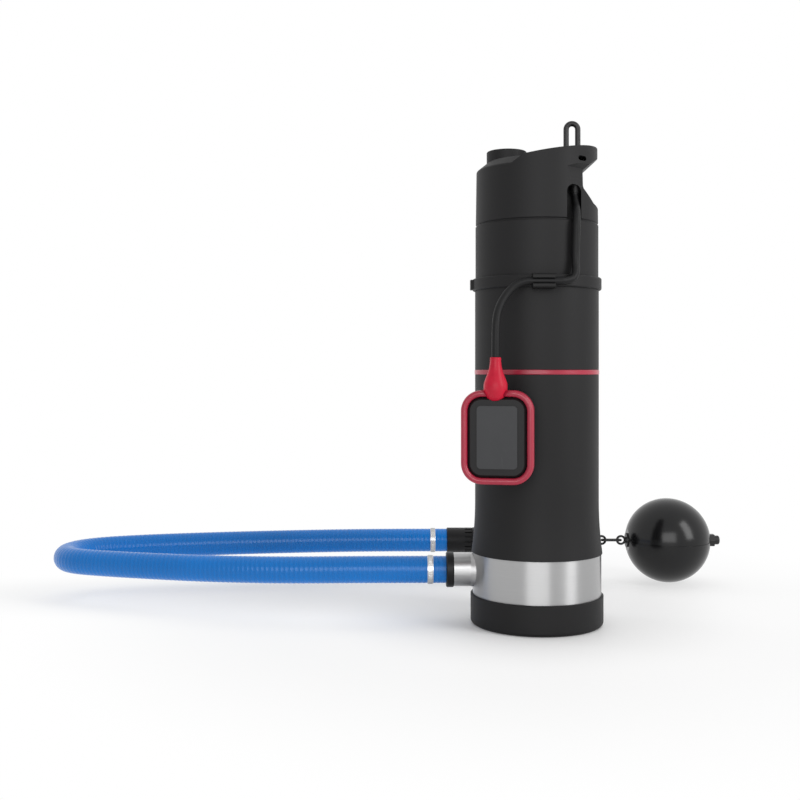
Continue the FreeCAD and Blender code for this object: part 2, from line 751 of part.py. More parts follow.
def valve_disc():
    """The non-return valve's disc and stem, closed on its seat."""
    foot = VALVE_SEAT_Z + RUN_GAP
    disc = cylinder(VALVE_DISC_R, foot, foot + VALVE_DISC_T, OUTLET_X)
    stem = cylinder(VALVE_STEM_R, foot, foot + VALVE_DISC_T + VALVE_LIFT + SPRING_CLOSED_H + 4, OUTLET_X)
    return disc.fuse(stem)


def coil_spring(wire_r, coil_r, length, turns, start, axis):
    """A compression spring of round wire."""
    pitch = length / turns
    helix = Part.makeHelix(pitch, length, coil_r)
    heading = V(0, 2 * math.pi * coil_r, pitch)
    section = Part.Wire(Part.makeCircle(wire_r, V(coil_r, 0, 0), heading))
    spring = Part.Wire(helix).makePipeShell([section], True, True)
    spring.Placement = FreeCAD.Placement(start, FreeCAD.Rotation(Z_AXIS, axis))
    return spring


def valve_spring():
    """The light spring that closes the non-return valve."""
    foot = VALVE_SEAT_Z + RUN_GAP + VALVE_DISC_T + 1
    length = VALVE_LIFT + SPRING_CLOSED_H - 2
    return coil_spring(0.6, SPRING_COIL_R, length, 5, V(OUTLET_X, 0, foot), Z_AXIS)


# Seals

def outlet_seal():
    """The rubber ring round the outlet's spigot, in the deck."""
    return ring(SEAL_CORD_R, OUTLET_R - 2 + SEAL_CORD_R, V(OUTLET_X, 0, DECK_Z - DECK_T / 2), Z_AXIS)


def outlet_groove():
    """The groove in the deck for the outlet's rubber ring."""
    middle = DECK_Z - DECK_T / 2
    outer = OUTLET_R - 2 + 2 * SEAL_CORD_R
    return tube(outer, OUTLET_R - 3, middle - SEAL_CORD_R, middle + SEAL_CORD_R, OUTLET_X)


def can_seal(z):
    """A rubber ring between a motor cover and the can."""
    return ring(SEAL_CORD_R, CAN_R - CAN_WALL - SEAL_CORD_R, V(0, 0, z), Z_AXIS)


def can_groove(z):
    """The groove in a motor cover for its rubber ring."""
    return tube(CAN_R, CAN_R - CAN_WALL - 2 * SEAL_CORD_R, z - SEAL_CORD_R, z + SEAL_CORD_R)


def seal_rings():
    """The rubber rings, as separate solids."""
    lower = can_seal(CAN_Z + CAN_COVER_T / 2)
    upper = can_seal(CAN_TOP - CAN_COVER_T / 2)
    return Part.makeCompound([outlet_seal(), lower, upper])


# Motor

def motor_can():
    """The steel can round the motor."""
    return tube(CAN_R, CAN_R - CAN_WALL, CAN_Z, CAN_TOP)


def motor_bottom_cover():
    """The cover under the motor, on posts that stand on the top bowl."""
    inner = CAN_R - CAN_WALL
    stack_top = STAGE_Z + STAGES * STAGE_H
    foot_top = stack_top + COVER_FLANGE_T
    foot = tube(BOWL_R, BOWL_R - COVER_FOOT_W, stack_top, foot_top)
    post_x = CAN_R - COVER_POST_INSET
    posts = around_z(cylinder(COVER_POST_R, stack_top, CAN_Z, post_x), SCREW_COUNT, 45)
    bar_end = BOWL_R - COVER_FOOT_W + 1
    bar = box(post_x - COVER_POST_R + 0.5, bar_end, -COVER_POST_R, COVER_POST_R, stack_top, foot_top)
    web = around_z(bar, SCREW_COUNT, 45)
    flange = cylinder(CAN_R, CAN_Z - COVER_FLANGE_T, CAN_Z)
    plug = cylinder(inner, CAN_Z, CAN_Z + CAN_COVER_T)
    hub = cylinder(BEARING_R + 3, CAN_Z, CAN_Z + CAN_COVER_T + BEARING_H - 4)
    cover = foot.fuse(posts + web + [flange, plug, hub])
    cover = cover.cut(cylinder(BEARING_R, lower_bearing_z(), CAN_Z + 100))
    cover = cover.cut(cylinder(SEAL_R, CAN_Z - COVER_FLANGE_T - 1, CAN_Z - COVER_FLANGE_T + SEAL_SEAT_H))
    cover = cover.cut(cylinder(SHAFT_R + LOOSE_GAP, stack_top, CAN_Z + 100))
    return cover.cut(can_groove(CAN_Z + CAN_COVER_T / 2))


def lower_bearing_z():
    """Height of the lower bearing's underside."""
    return CAN_Z + CAN_COVER_T - 4


def upper_bearing_z():
    """Height of the upper bearing's underside."""
    return CAN_TOP - CAN_COVER_T - BEARING_H + 4


def motor_top_cover():
    """The cover that closes the top of the motor."""
    plug = cylinder(CAN_R - CAN_WALL, CAN_TOP - CAN_COVER_T, CAN_TOP)
    flange = cylinder(CAN_R, CAN_TOP, CAN_TOP + 3)
    hub = cylinder(BEARING_R + 3, upper_bearing_z(), CAN_TOP)
    cover = plug.fuse([flange, hub])
    cover = cover.cut(cylinder(BEARING_R, upper_bearing_z() - 1, upper_bearing_z() + BEARING_H))
    cover = cover.cut(cylinder(SHAFT_R + LOOSE_GAP, upper_bearing_z(), SHAFT_TOP + 1))
    return cover.cut(can_groove(CAN_TOP - CAN_COVER_T / 2))


def motor_covers():
    """The motor's two covers, as separate solids."""
    return Part.makeCompound([motor_top_cover(), motor_bottom_cover()])


def shaft_bearings():
    """The two bearings that carry the shaft."""
    lower = tube(BEARING_R, SHAFT_R + RUN_GAP, lower_bearing_z(), lower_bearing_z() + BEARING_H)
    upper = tube(BEARING_R, SHAFT_R + RUN_GAP, upper_bearing_z(), upper_bearing_z() + BEARING_H)
    return Part.makeCompound([lower, upper])


def slot_bars(shrink, z0, z1):
    """The stator's slots, or the bars of wire in them where shrunk."""
    inner = STATOR_BORE_R + SLOT_MARGIN + shrink
    bar = box(inner, inner + SLOT_DEPTH - 2 * shrink, -SLOT_W / 2 + shrink, SLOT_W / 2 - shrink, z0, z1)
    return around_z(bar, STATOR_SLOTS)


def stator_core():
    """The slotted iron stack."""
    core = tube(CAN_R - CAN_WALL, STATOR_BORE_R, STATOR_Z, STATOR_Z + STATOR_H)
    return core.cut(Part.makeCompound(slot_bars(0.0, STATOR_Z - 1, STATOR_Z + STATOR_H + 1)))


def stator_winding():
    """The copper bars in the slots, joined by the end turns."""
    inner = STATOR_BORE_R + SLOT_MARGIN
    outer = inner + SLOT_DEPTH + 2
    top = STATOR_Z + STATOR_H
    lower = tube(outer, inner, STATOR_Z - WINDING_H, STATOR_Z)
    upper = tube(outer, inner, top, top + WINDING_H)
    edges = [e for e in lower.Edges if e.BoundBox.ZMax < STATOR_Z - 1]
    lower = lower.makeFillet(4, edges)
    edges = [e for e in upper.Edges if e.BoundBox.ZMin > top + 1]
    upper = upper.makeFillet(4, edges)
    return lower.fuse([upper] + slot_bars(0.3, STATOR_Z - 1, top + 1))


def rotor_core():
    """The rotor's iron with its end rings."""
    radius = STATOR_BORE_R - ROTOR_GAP
    iron = cylinder(radius, STATOR_Z, STATOR_Z + STATOR_H)
    end_rings = [tube(radius - 2, radius - 10, STATOR_Z - 5, STATOR_Z),
                 tube(radius - 2, radius - 10, STATOR_Z + STATOR_H, STATOR_Z + STATOR_H + 5)]
    return iron.fuse(end_rings).cut(cylinder(SHAFT_R, STATOR_Z - 10, STATOR_Z + STATOR_H + 10))


def rotor_shaft():
    """The shaft, from the nut under the first impeller to the top bearing."""
    shaft = cylinder(SHAFT_R, SHAFT_Z, SHAFT_TOP)
    ends = [e for e in shaft.Edges if e.BoundBox.ZLength < 0.01]
    return shaft.makeChamfer(1.0, ends)


def seal_seat():
    """The fixed ring of the shaft seal, in the motor's lower cover."""
    return tube(SEAL_R, SHAFT_R + LOOSE_GAP, CAN_Z - 5, CAN_Z - 5 + SEAL_SEAT_H)


def seal_face():
    """The turning half of the shaft seal."""
    top = CAN_Z - 5 - RUN_GAP
    face = tube(SEAL_R - 1, SHAFT_R, top - SEAL_FACE_H / 2, top)
    holder = tube(SEAL_R - 2.5, SHAFT_R, top - SEAL_FACE_H * 1.5, top - SEAL_FACE_H / 2)
    return face.fuse(holder)


# Pump stages

def blade(r0, r1, sweep, z0, z1):
    """One curved vane from radius r0 to r1, swept by an angle."""
    sides = []
    for lead in (0.0, 1.0):
        points = []
        for share in (0.0, 0.5, 1.0):
            radius = r0 + (r1 - r0) * share
            angle = math.radians(sweep * share) + lead * VANE_T / radius
            points.append(V(radius * math.cos(angle), radius * math.sin(angle), z0))
        sides.append(points)
    near, far = sides
    edges = [Part.Arc(*near).toShape(), Part.LineSegment(near[2], far[2]).toShape(),
             Part.Arc(*far).toShape(), Part.LineSegment(far[0], near[0]).toShape()]
    return Part.Face(Part.Wire(Part.__sortEdges__(edges))).extrude(V(0, 0, z1 - z0))


def diffuser(index):
    """One bowl: its plate with the suction eye, its wall and its guide vanes."""
    z0 = STAGE_Z + index * STAGE_H
    top = z0 + STAGE_H
    guide_z = z0 + BOWL_PLATE + IMPELLER_H + 4.5
    wall = tube(BOWL_R, BOWL_R - BOWL_WALL, z0, top)
    plate = tube(BOWL_R, IMPELLER_EYE_R + 2 + ROTOR_GAP, z0, z0 + BOWL_PLATE)
    guide = tube(BOWL_R - 8, IMPELLER_HUB_R + 2, guide_z, guide_z + BOWL_PLATE)
    vane = blade(IMPELLER_HUB_R + 6, BOWL_R - 1.5, -VANE_SWEEP, guide_z + 0.5, top)
    bowl = wall.fuse([plate, guide] + around_z(vane, GUIDE_VANES))
    if index == 0:
        leg = cylinder(SCREW_HEAD_R + 2, BASE_H - BAND_LAP, z0 + 1, BASE_SCREW_PCD_R)
        bowl = bowl.fuse(around_z(leg, SCREW_COUNT, 45))
        bowl = bowl.cut(Part.makeCompound(base_screw_set()))
    return bowl


def impeller(index):
    """One closed impeller with its hub, plates and swept vanes."""
    foot = STAGE_Z + index * STAGE_H + BOWL_PLATE + 1.5
    top = foot + IMPELLER_H
    neck = tube(IMPELLER_EYE_R + 2, IMPELLER_EYE_R, foot - 3, foot)
    lower = tube(IMPELLER_R, IMPELLER_EYE_R, foot, foot + IMPELLER_PLATE)
    upper = cylinder(IMPELLER_R, top - IMPELLER_PLATE, top)
    hub = cylinder(IMPELLER_HUB_R, foot + 2, top + 2)
    vane = blade(IMPELLER_EYE_R - 2, IMPELLER_R - 0.5, VANE_SWEEP, foot + 1, top - 1)
    wheel = lower.fuse([neck, upper, hub] + around_z(vane, IMPELLER_VANES))
    return wheel.cut(cylinder(SHAFT_R, foot - 5, top + 5))


def shaft_nut():
    """The nut that holds the impellers on the shaft."""
    turns = [math.radians(angle) for angle in range(0, 361, 60)]
    foot = SHAFT_Z + SHAFT_END
    corners = [V(SHAFT_NUT_R * math.cos(turn), SHAFT_NUT_R * math.sin(turn), foot) for turn in turns]
    face = Part.Face(Part.makePolygon(corners))
    return face.extrude(V(0, 0, SHAFT_NUT_H)).cut(cylinder(SHAFT_R, SHAFT_Z, foot + 2 * SHAFT_NUT_H))


# Electronics in the head

def control_board():
    """The pressure and dry-run control board on its standoffs."""
    foot = DECK_Z + STANDOFF_H
    top = board_top()
    board = box(BOARD_X0, BOARD_X1, -BOARD_HALF_W, BOARD_HALF_W, foot, top)
    places = [(x, side * (BOARD_HALF_W - STANDOFF_INSET)) for side in (-1, 1)
              for x in (BOARD_X0 + STANDOFF_INSET, BOARD_X1 - STANDOFF_INSET)]
    legs = [cylinder(STANDOFF_R, DECK_Z, foot, x, y) for x, y in places]
    relay = box(-4, 14, -30, -14, top, top + RELAY_H)
    chip = box(18, 26, -10, 6, top, top + CHIP_H)
    terminal = box(-6, 2, -12, 7, top, top + TERMINAL_H)
    return board.fuse(legs + [relay, chip, terminal])


def board_top():
    """Height of the control board's upper face."""
    return DECK_Z + STANDOFF_H + BOARD_T


def capacitor():
    """The run capacitor, upright on the board."""
    top = board_top() + CAPACITOR_H
    can = cylinder(CAPACITOR_R, board_top(), top, CAPACITOR_X, CAPACITOR_Y)
    rim = [e for e in can.Edges if e.BoundBox.ZMin > top - 0.01]
    return can.makeFillet(CAPACITOR_EDGE, rim)


# Suction line

def hose_nut():
    """The black union nut on the inlet stub."""
    nut = pipe_x(NUT_R, HOSE_BORE_R - 1, NUT_END_X, STUB_END_X, 0, INLET_Z)
    rims = [e for e in nut.Edges if e.BoundBox.XLength < 0.01 and e.BoundBox.ZLength > 2 * NUT_R - 1]
    return nut.makeChamfer(1.0, rims)


def inlet_tail():
    """The barbed tail that the hose is pushed over, held by the nut."""
    inside = STUB_END_X + 10
    tail = rod_x(HOSE_BORE_R - 1, NUT_END_X - TAIL_LENGTH, inside, 0, INLET_Z)
    seat = rod_x(STUB_R - STUB_WALL, STUB_END_X, inside, 0, INLET_Z)
    barbs = []
    for index in range(3):
        start = NUT_END_X - TAIL_LENGTH + 2 + index * 9
        barbs.append(cone_x(HOSE_BORE_R - 1, HOSE_BORE_R, start, start + 6, 0, INLET_Z))
    tail = tail.fuse([seat] + barbs)
    return tail.cut(rod_x(TAIL_BORE_R, NUT_END_X - TAIL_LENGTH - 1, inside + 1, 0, INLET_Z))


def route_stations(wire, count):
    """Places along the route where the rib circles stand, each with its direction."""
    stations = []
    edges = wire.OrderedEdges
    total = wire.Length
    for index in range(count + 1):
        distance = min(total * index / count, total - 1e-6)
        for edge in edges:
            if distance <= edge.Length:
                break
            distance -= edge.Length
        at = edge.getParameterByLength(distance)
        if edge.Orientation == "Reversed":
            at = edge.getParameterByLength(edge.Length - distance)
        stations.append((edge.valueAt(at), edge.tangentAt(at)))
    return stations


def circle_on_route(point, direction, radius):
    """A circle square to the route, its own X axis kept upright."""
    upright = Z_AXIS - direction * Z_AXIS.dot(direction)
    upright.normalize()
    side = direction.cross(upright)
    circle = Part.makeCircle(radius, V(0, 0, 0), Z_AXIS)
    circle.Placement = FreeCAD.Placement(point, FreeCAD.Rotation(upright, side, direction, "ZXY"))
    return Part.Wire(circle)


def suction_hose():
    """The ribbed suction hose with its bore, along its whole route."""
    wire = route_wire(HOSE_ROUTE, "suction hose")
    pitch = wire.Length / HOSE_RIBS
    print("hose rib pitch", round(pitch, 2))
    steps = 20
    stations = route_stations(wire, HOSE_RIBS * steps)
    rib = ((0, HOSE_ROOT_R), (5, HOSE_R), (12, HOSE_R), (17, HOSE_ROOT_R))
    outer = []
    inner = []
    for index in range(HOSE_RIBS):
        for step, radius in rib:
            outer.append(circle_on_route(*stations[index * steps + step], radius))
        inner.append(circle_on_route(*stations[index * steps], HOSE_BORE_R))
    outer.append(circle_on_route(*stations[-1], HOSE_ROOT_R))
    inner.append(circle_on_route(*stations[-1], HOSE_BORE_R))
    skin = Part.makeLoft(outer, False, True)
    bore = Part.makeLoft(inner, False, True)
    caps = [Part.makeFace([outer[end], inner[end]], "Part::FaceMakerBullseye") for end in (0, -1)]
    shell = Part.makeShell(skin.Faces + bore.Faces + caps)
    shell.sewShape()
    hose = Part.makeSolid(shell)
    if hose.Volume < 0:
        hose.reverse()
    mean = (HOSE_ROOT_R + HOSE_R) / 2
    share = hose.Volume / (math.pi * (mean ** 2 - HOSE_BORE_R ** 2) * wire.Length)
    print("suction hose volume over section times length", round(share, 4))
    return hose


def clamp(x, y, z):
    """One hose clamp: its band and the housing of its screw."""
    band = rod_x(HOSE_R + CLAMP_T, x - CLAMP_W / 2, x + CLAMP_W / 2, y, z)
    half = HOUSING_W / 2
    housing = box(x - half, x + half, y, y + HOSE_R + HOUSING_H, z - HOUSING_L / 2, z + HOUSING_L / 2)
    band = band.fuse(housing)
    foot = V(x, y + HOSE_R + CLAMP_SCREW_UP, z - CLAMP_SCREW_L / 2)
    screw = Part.makeCylinder(CLAMP_SCREW_R, CLAMP_SCREW_L, foot, Z_AXIS)
    return band.fuse(screw).cut(rod_x(HOSE_R, x - CLAMP_W, x + CLAMP_W, y, z))


def hose_clamps():
    """The two hose clamps, as separate solids."""
    return Part.makeCompound([clamp(CLAMP_X, 0, INLET_Z), clamp(LINE_CLAMP_X, LINE_Y, LINE_Z)])


def line_rod(radius, x0, x1):
    """A solid cylinder on the strainer's axis."""
    return rod_x(radius, x0, x1, LINE_Y, LINE_Z)


def around_line(shape, count):
    """Copies of a shape, evenly spaced round the strainer's axis."""
    copies = []
    for index in range(count):
        copy = shape.copy()
        copy.rotate(V(0, LINE_Y, LINE_Z), X_AXIS, index * 360.0 / count)
        copies.append(copy)
    return copies


def strainer_socket():
    """The strainer's hose socket, which holds the foot valve's seat."""
    body = line_rod(SOCKET_R, LINE_START_X, SOCKET_END_X)
    rims = [e for e in body.Edges if e.BoundBox.XLength < 0.01]
    body = body.makeChamfer(0.8, rims)
    tail = line_rod(HOSE_BORE_R - 1, LINE_START_X - TAIL_LENGTH, LINE_START_X + 1)
    barbs = []
    for index in range(3):
        start = LINE_START_X - TAIL_LENGTH + 8 + index * 9
        barbs.append(cone_x(HOSE_BORE_R, HOSE_BORE_R - 1, start - 6, start, LINE_Y, LINE_Z))
    spigot = line_rod(SOCKET_R - BASKET_WALL, SOCKET_END_X, SOCKET_END_X + 8)
    body = body.fuse([tail, spigot] + barbs)
    notch = box(SOCKET_END_X - 10, SOCKET_END_X, LINE_Y - 1.1, LINE_Y + 1.1,
                LINE_Z + SOCKET_R - 1.4, LINE_Z + SOCKET_R + 1)
    body = body.cut(Part.makeCompound(around_line(notch, BASKET_SLOTS)))
    seat_x = foot_seat_x()
    body = body.cut(line_rod(TAIL_BORE_R, LINE_START_X - TAIL_LENGTH - 1, LINE_START_X + 5))
    body = body.cut(line_rod(SOCKET_BORE_R, LINE_START_X + 3, seat_x))
    body = body.cut(line_rod(FOOT_SEAT_R, seat_x - 1, seat_x + FOOT_SEAT_T + 1))
    body = body.cut(line_rod(SOCKET_BORE_R, seat_x + FOOT_SEAT_T, SOCKET_END_X + 9))
    hub = line_rod(FOOT_STEM_R + 1.8, seat_x, seat_x + FOOT_LIFT + 2)
    arm = box(seat_x, seat_x + FOOT_SEAT_T, LINE_Y - 0.8, LINE_Y + 0.8, LINE_Z + 2, LINE_Z + FOOT_SEAT_R + 1)
    body = body.fuse([hub] + around_line(arm, 3))
    return body.cut(line_rod(FOOT_STEM_R + LOOSE_GAP, seat_x - 1, seat_x + FOOT_LIFT + 3))


def foot_seat_x():
    """Where the foot valve's disc meets its seat."""
    return SOCKET_END_X - 6


def foot_valve_disc():
    """The foot valve's disc and stem, closed against the seat."""
    seat_x = foot_seat_x() - RUN_GAP
    disc = line_rod(FOOT_DISC_R, seat_x - FOOT_DISC_T, seat_x)
    stem = line_rod(FOOT_STEM_R, seat_x, seat_x + 2 * FOOT_LIFT + 4)
    return disc.fuse(stem)


def foot_valve_spring():
    """The foot valve's spring, short of the chamber's end by the valve's travel."""
    start = foot_seat_x() - RUN_GAP - FOOT_DISC_T - 0.8
    length = start - (LINE_START_X + 3) - FOOT_LIFT - 0.8
    return coil_spring(0.5, 9.8, length, 4, V(start, LINE_Y, LINE_Z), V(-1, 0, 0))


def strainer_basket():
    """The slotted strainer, wider behind its socket."""
    outline = cone_x(SOCKET_R, BASKET_R, SOCKET_END_X, BASKET_CONE_X, LINE_Y, LINE_Z)
    outline = outline.fuse(line_rod(BASKET_R, BASKET_CONE_X, BASKET_END_X))
    inner = BASKET_R - BASKET_WALL
    inner_cone = cone_x(SOCKET_R - BASKET_WALL, inner, SOCKET_END_X, BASKET_CONE_X, LINE_Y, LINE_Z)
    hollow = inner_cone.fuse(line_rod(inner, BASKET_CONE_X, BASKET_END_X))
    basket = outline.cut(hollow)
    row = (BASKET_END_X - BASKET_CONE_X - BASKET_RING_W) / BASKET_ROWS
    cutters = []
    for index in range(BASKET_ROWS):
        start = BASKET_CONE_X + BASKET_RING_W / 2 + index * row
        end = start + row - BASKET_RING_W / 2
        slot = box(start, end, LINE_Y - BASKET_SLOT_W / 2, LINE_Y + BASKET_SLOT_W / 2,
                   LINE_Z + BASKET_R - 2 * BASKET_WALL, LINE_Z + BASKET_R + 1)
        cutters.extend(around_line(slot, BASKET_SLOTS))
    return basket.cut(Part.makeCompound(cutters))


def strainer_cap():
    """The strainer's end cap with the eye for the float's link."""
    plate = line_rod(BASKET_R, BASKET_END_X, CAP_END_X)
    rim = [e for e in plate.Edges if e.BoundBox.XMin > CAP_END_X - 0.01]
    plate = plate.makeFillet(2.0, rim)
    spigot = line_rod(BASKET_R - BASKET_WALL, BASKET_END_X - 6, BASKET_END_X)
    spigot = spigot.cut(line_rod(BASKET_R - 2 * BASKET_WALL, BASKET_END_X - 7, BASKET_END_X))
    stem = line_rod(3.0, CAP_END_X - 1, CAP_EYE_X - EYE_RING_R + 0.5)
    eye = ring(CHAIN_WIRE_R, EYE_RING_R, V(CAP_EYE_X, LINE_Y, LINE_Z), Y_AXIS)
    return plate.fuse([spigot, stem, eye])


def tether_link():
    """The long flat link between the strainer's eye and the ball's eye."""
    left = CAP_EYE_X + LINK_HALF_W
    right = BALL_EYE_X - LINK_HALF_W
    near = LINE_Y - LINK_HALF_W
    far = LINE_Y + LINK_HALF_W
    corners = [V(left, near, LINE_Z), V(right, near, LINE_Z), V(right, far, LINE_Z), V(left, far, LINE_Z)]
    right_end = Part.Arc(corners[1], V(BALL_EYE_X, LINE_Y, LINE_Z), corners[2]).toShape()
    left_end = Part.Arc(corners[3], V(CAP_EYE_X, LINE_Y, LINE_Z), corners[0]).toShape()
    path = Part.Wire([Part.LineSegment(corners[0], corners[1]).toShape(), right_end,
                      Part.LineSegment(corners[2], corners[3]).toShape(), left_end])
    section = Part.Wire(Part.makeCircle(LINK_WIRE_R, corners[0], X_AXIS))
    return path.makePipeShell([section], True, False)


# Ball float

def ball_shell(upper):
    """One half of the hollow ball float, parted along its level seam."""
    centre = V(BALL_X, LINE_Y, LINE_Z)
    skin = Part.makeSphere(BALL_R, centre)
    void = Part.makeSphere(BALL_R - BALL_WALL, centre)
    bosses = [line_rod(WASHER_R, BALL_X - BALL_R, BALL_X - BALL_FLAT + 8),
              line_rod(WASHER_R, BALL_X + BALL_FLAT - 8, BALL_X + BALL_R)]
    shell = skin.cut(void.cut(Part.makeCompound(bosses)))
    reach = 2 * BALL_R
    keep = box(BALL_X - BALL_FLAT, BALL_X + BALL_FLAT, LINE_Y - reach, LINE_Y + reach,
               LINE_Z if upper else LINE_Z - reach, LINE_Z + reach if upper else LINE_Z)
    shell = shell.common(keep)
    low = LINE_Z - BALL_SEAM_W / 2
    seam = tube(BALL_R + 2, BALL_R - BALL_SEAM_DEPTH, low, low + BALL_SEAM_W, BALL_X, LINE_Y)
    return shell.cut(seam).cut(line_rod(BOLT_R, BALL_X - BALL_R, BALL_X + BALL_R))


def ball_halves():
    """The ball float's upper and lower half, as separate solids."""
    return Part.makeCompound([ball_shell(True), ball_shell(False)])


def ball_eyebolt():
    """The eyebolt through the ball float."""
    start = BALL_X - BALL_FLAT - WASHER_T
    end = BALL_X + BALL_FLAT + WASHER_T + BALL_NUT_H
    eye = ring(CHAIN_WIRE_R, EYE_RING_R, V(BALL_EYE_X, LINE_Y, LINE_Z), Y_AXIS)
    neck = line_rod(3.0, BALL_EYE_X + EYE_RING_R - 0.5, start)
    return eye.fuse([neck, line_rod(BOLT_R, start - 1, end)])


def ball_nuts():
    """The washers and the capped nut on the eyebolt, as separate solids."""
    left = BALL_X - BALL_FLAT
    right = BALL_X + BALL_FLAT
    nut_x = right + WASHER_T
    bolt = line_rod(BOLT_R, left - 10, nut_x + BALL_NUT_H)
    washers = [line_rod(WASHER_R, left - WASHER_T, left), line_rod(WASHER_R, right, nut_x)]
    turns = [math.radians(angle) for angle in range(0, 361, 60)]
    corners = [V(nut_x, LINE_Y + BALL_NUT_R * math.cos(turn), LINE_Z + BALL_NUT_R * math.sin(turn))
               for turn in turns]
    nut = Part.Face(Part.makePolygon(corners)).extrude(V(BALL_NUT_H, 0, 0))
    cap_end = nut_x + BALL_NUT_H + BOLT_TAIL
    cap = line_rod(BOLT_TAIL_R, nut_x + BALL_NUT_H, cap_end)
    tip = [e for e in cap.Edges if e.BoundBox.XMin > cap_end - 0.01]
    nut = nut.fuse(cap.makeFillet(2.0, tip))
    return Part.makeCompound([solid.cut(bolt) for solid in washers + [nut]])


# Float switch, built upright about its own centre and then turned into place

def place_float(shape):
    """Turn a float switch piece and move it to where the switch hangs."""
    placed = shape.copy()
    placed.rotate(V(0, 0, 0), Z_AXIS, FLOAT_TURN)
    placed.translate(V(FLOAT_X, FLOAT_Y, FLOAT_Z))
    return placed


def rounded_block(width, height, corner, y0, y1):
    """A block with four rounded corners, seen from the front."""
    block = box(-width / 2, width / 2, y0, y1, -height / 2, height / 2)
    uprights = [e for e in block.Edges if e.BoundBox.YLength > y1 - y0 - 0.01]
    return block.makeFillet(corner, uprights)


def edges_at_y(shape, y):
    """The edges of a shape that lie in one plane across Y."""
    return [e for e in shape.Edges if e.BoundBox.YLength < 0.01 and abs(e.BoundBox.YMin - y) < 0.01]


def boot_point():
    """The boot's axis in the float switch's own frame."""
    return V(BOOT_OFFSET_X, BOOT_OFFSET_Y, 0)


def boot_body():
    """The red cable boot: a neck that swells to a rounded foot."""
    top = BOOT_TOP_Z - FLOAT_Z
    belly = BOOT_BELLY_Z - FLOAT_Z
    foot = BOOT_FOOT_Z - FLOAT_Z
    neck_z = (top + belly) / 2 + 2
    neck = V((BOOT_TOP_R + BOOT_BELLY_R) / 2 - 0.6, 0, neck_z)
    side = Part.Arc(V(BOOT_TOP_R, 0, top), neck, V(BOOT_BELLY_R, 0, belly)).toShape()
    flat = V(BOOT_BELLY_R * 0.35, 0, foot)
    low = V(BOOT_BELLY_R * 0.86, 0, foot + 5.0)
    base = Part.Arc(V(BOOT_BELLY_R, 0, belly), low, flat).toShape()
    edges = [Part.LineSegment(V(0, 0, top), V(BOOT_TOP_R, 0, top)).toShape(), side, base,
             Part.LineSegment(flat, V(0, 0, foot)).toShape(),
             Part.LineSegment(V(0, 0, foot), V(0, 0, top)).toShape()]
    boot = turned(edges)
    boot.translate(boot_point())
    return boot


def float_boot():
    """The cable boot, placed."""
    return place_float(boot_body())


def float_rim():
    """The crimson rim round the float switch's face."""
    front = -FLOAT_T / 2
    back = front + RIM_D
    rim = rounded_block(FLOAT_W, FLOAT_H, FLOAT_CORNER, front, back)
    rim = rim.makeFillet(3.0, edges_at_y(rim, front))
    rim = rim.makeFillet(2.0, edges_at_y(rim, back))
    inner = rounded_block(FLOAT_W - 2 * RIM_T, FLOAT_H - 2 * RIM_T, FLOAT_CORNER - RIM_T, front - 1, back + 1)
    return place_float(rim.cut(inner).cut(boot_body()))


def float_front():
    """The front shell, with a sloped frame round the panel's seat."""
    front = -FLOAT_T / 2 + 1.5
    back = -FLOAT_T / 2 + RIM_D
    width = FLOAT_W - 2 * RIM_T
    height = FLOAT_H - 2 * RIM_T
    corner = FLOAT_CORNER - RIM_T
    shell = rounded_block(width, height, corner, front, back)
    shell = shell.makeChamfer(FRAME_DEPTH, edges_at_y(shell, front))
    hollow = rounded_block(width - 2 * FLOAT_WALL, height - 2 * FLOAT_WALL, corner - FLOAT_WALL,
                           front + FRAME_DEPTH + FLOAT_WALL, back + 1)
    seat = rounded_block(PANEL_W, PANEL_H, PANEL_CORNER, front - 1, front + PANEL_T)
    return place_float(shell.cut(hollow).cut(seat).cut(boot_body()))


def float_panel():
    """The plain panel on the float switch's face."""
    front = -FLOAT_T / 2 + 1.5
    panel = rounded_block(PANEL_W, PANEL_H, PANEL_CORNER, front - 0.6, front + PANEL_T)
    return place_float(panel)


def float_back():
    """The back shell of the float switch."""
    seam = -FLOAT_T / 2 + RIM_D
    back = FLOAT_T / 2
    shell = rounded_block(FLOAT_W - 1.6, FLOAT_H - 1.6, FLOAT_CORNER - 0.8, seam, back)
    shell = shell.makeFillet(7.0, edges_at_y(shell, back))
    inset = 2 * FLOAT_WALL + 4
    hollow = rounded_block(FLOAT_W - inset - 8, FLOAT_H - inset - 8, FLOAT_CORNER - inset / 2 - 4,
                           seam - 1, back - FLOAT_WALL)
    return place_float(shell.cut(hollow).cut(boot_body()))


def switch_module():
    """The switch block with the channel that the ball rolls in, and a window into it."""
    block = box(-MODULE_W / 2, MODULE_W / 2, MODULE_Y, MODULE_Y + MODULE_D, -MODULE_H / 2, MODULE_H / 2 - 8)
    channel_top = module_floor() + 2 * TILT_BALL_R + TILT_TRAVEL + 2 * RUN_GAP
    channel = cylinder(TILT_BALL_R + LOOSE_GAP, module_floor(), channel_top, 0, channel_y())
    window = box(-TILT_BALL_R / 2, TILT_BALL_R / 2, channel_y(), MODULE_Y + MODULE_D + 1,
                 module_floor() + 3, channel_top - 3)
    channel = channel.fuse(window)
    switch = box(-MODULE_W / 2 + 1, MODULE_W / 2 - 1, -5, 3, MODULE_H / 2 - 8, MODULE_H / 2)
    return place_float(block.fuse(switch).cut(channel))


def module_floor():
    """The floor of the ball's channel."""
    return -MODULE_H / 2 + 4


def channel_y():
    """The channel's place in the switch block's depth."""
    return MODULE_Y + MODULE_D / 2


def tilt_ball():
    """The steel ball at the bottom of its channel."""
    centre = V(0, channel_y(), module_floor() + TILT_BALL_R + RUN_GAP)
    return place_float(Part.makeSphere(TILT_BALL_R, centre))


# The float switch's cable, its held stretch and its free stretch

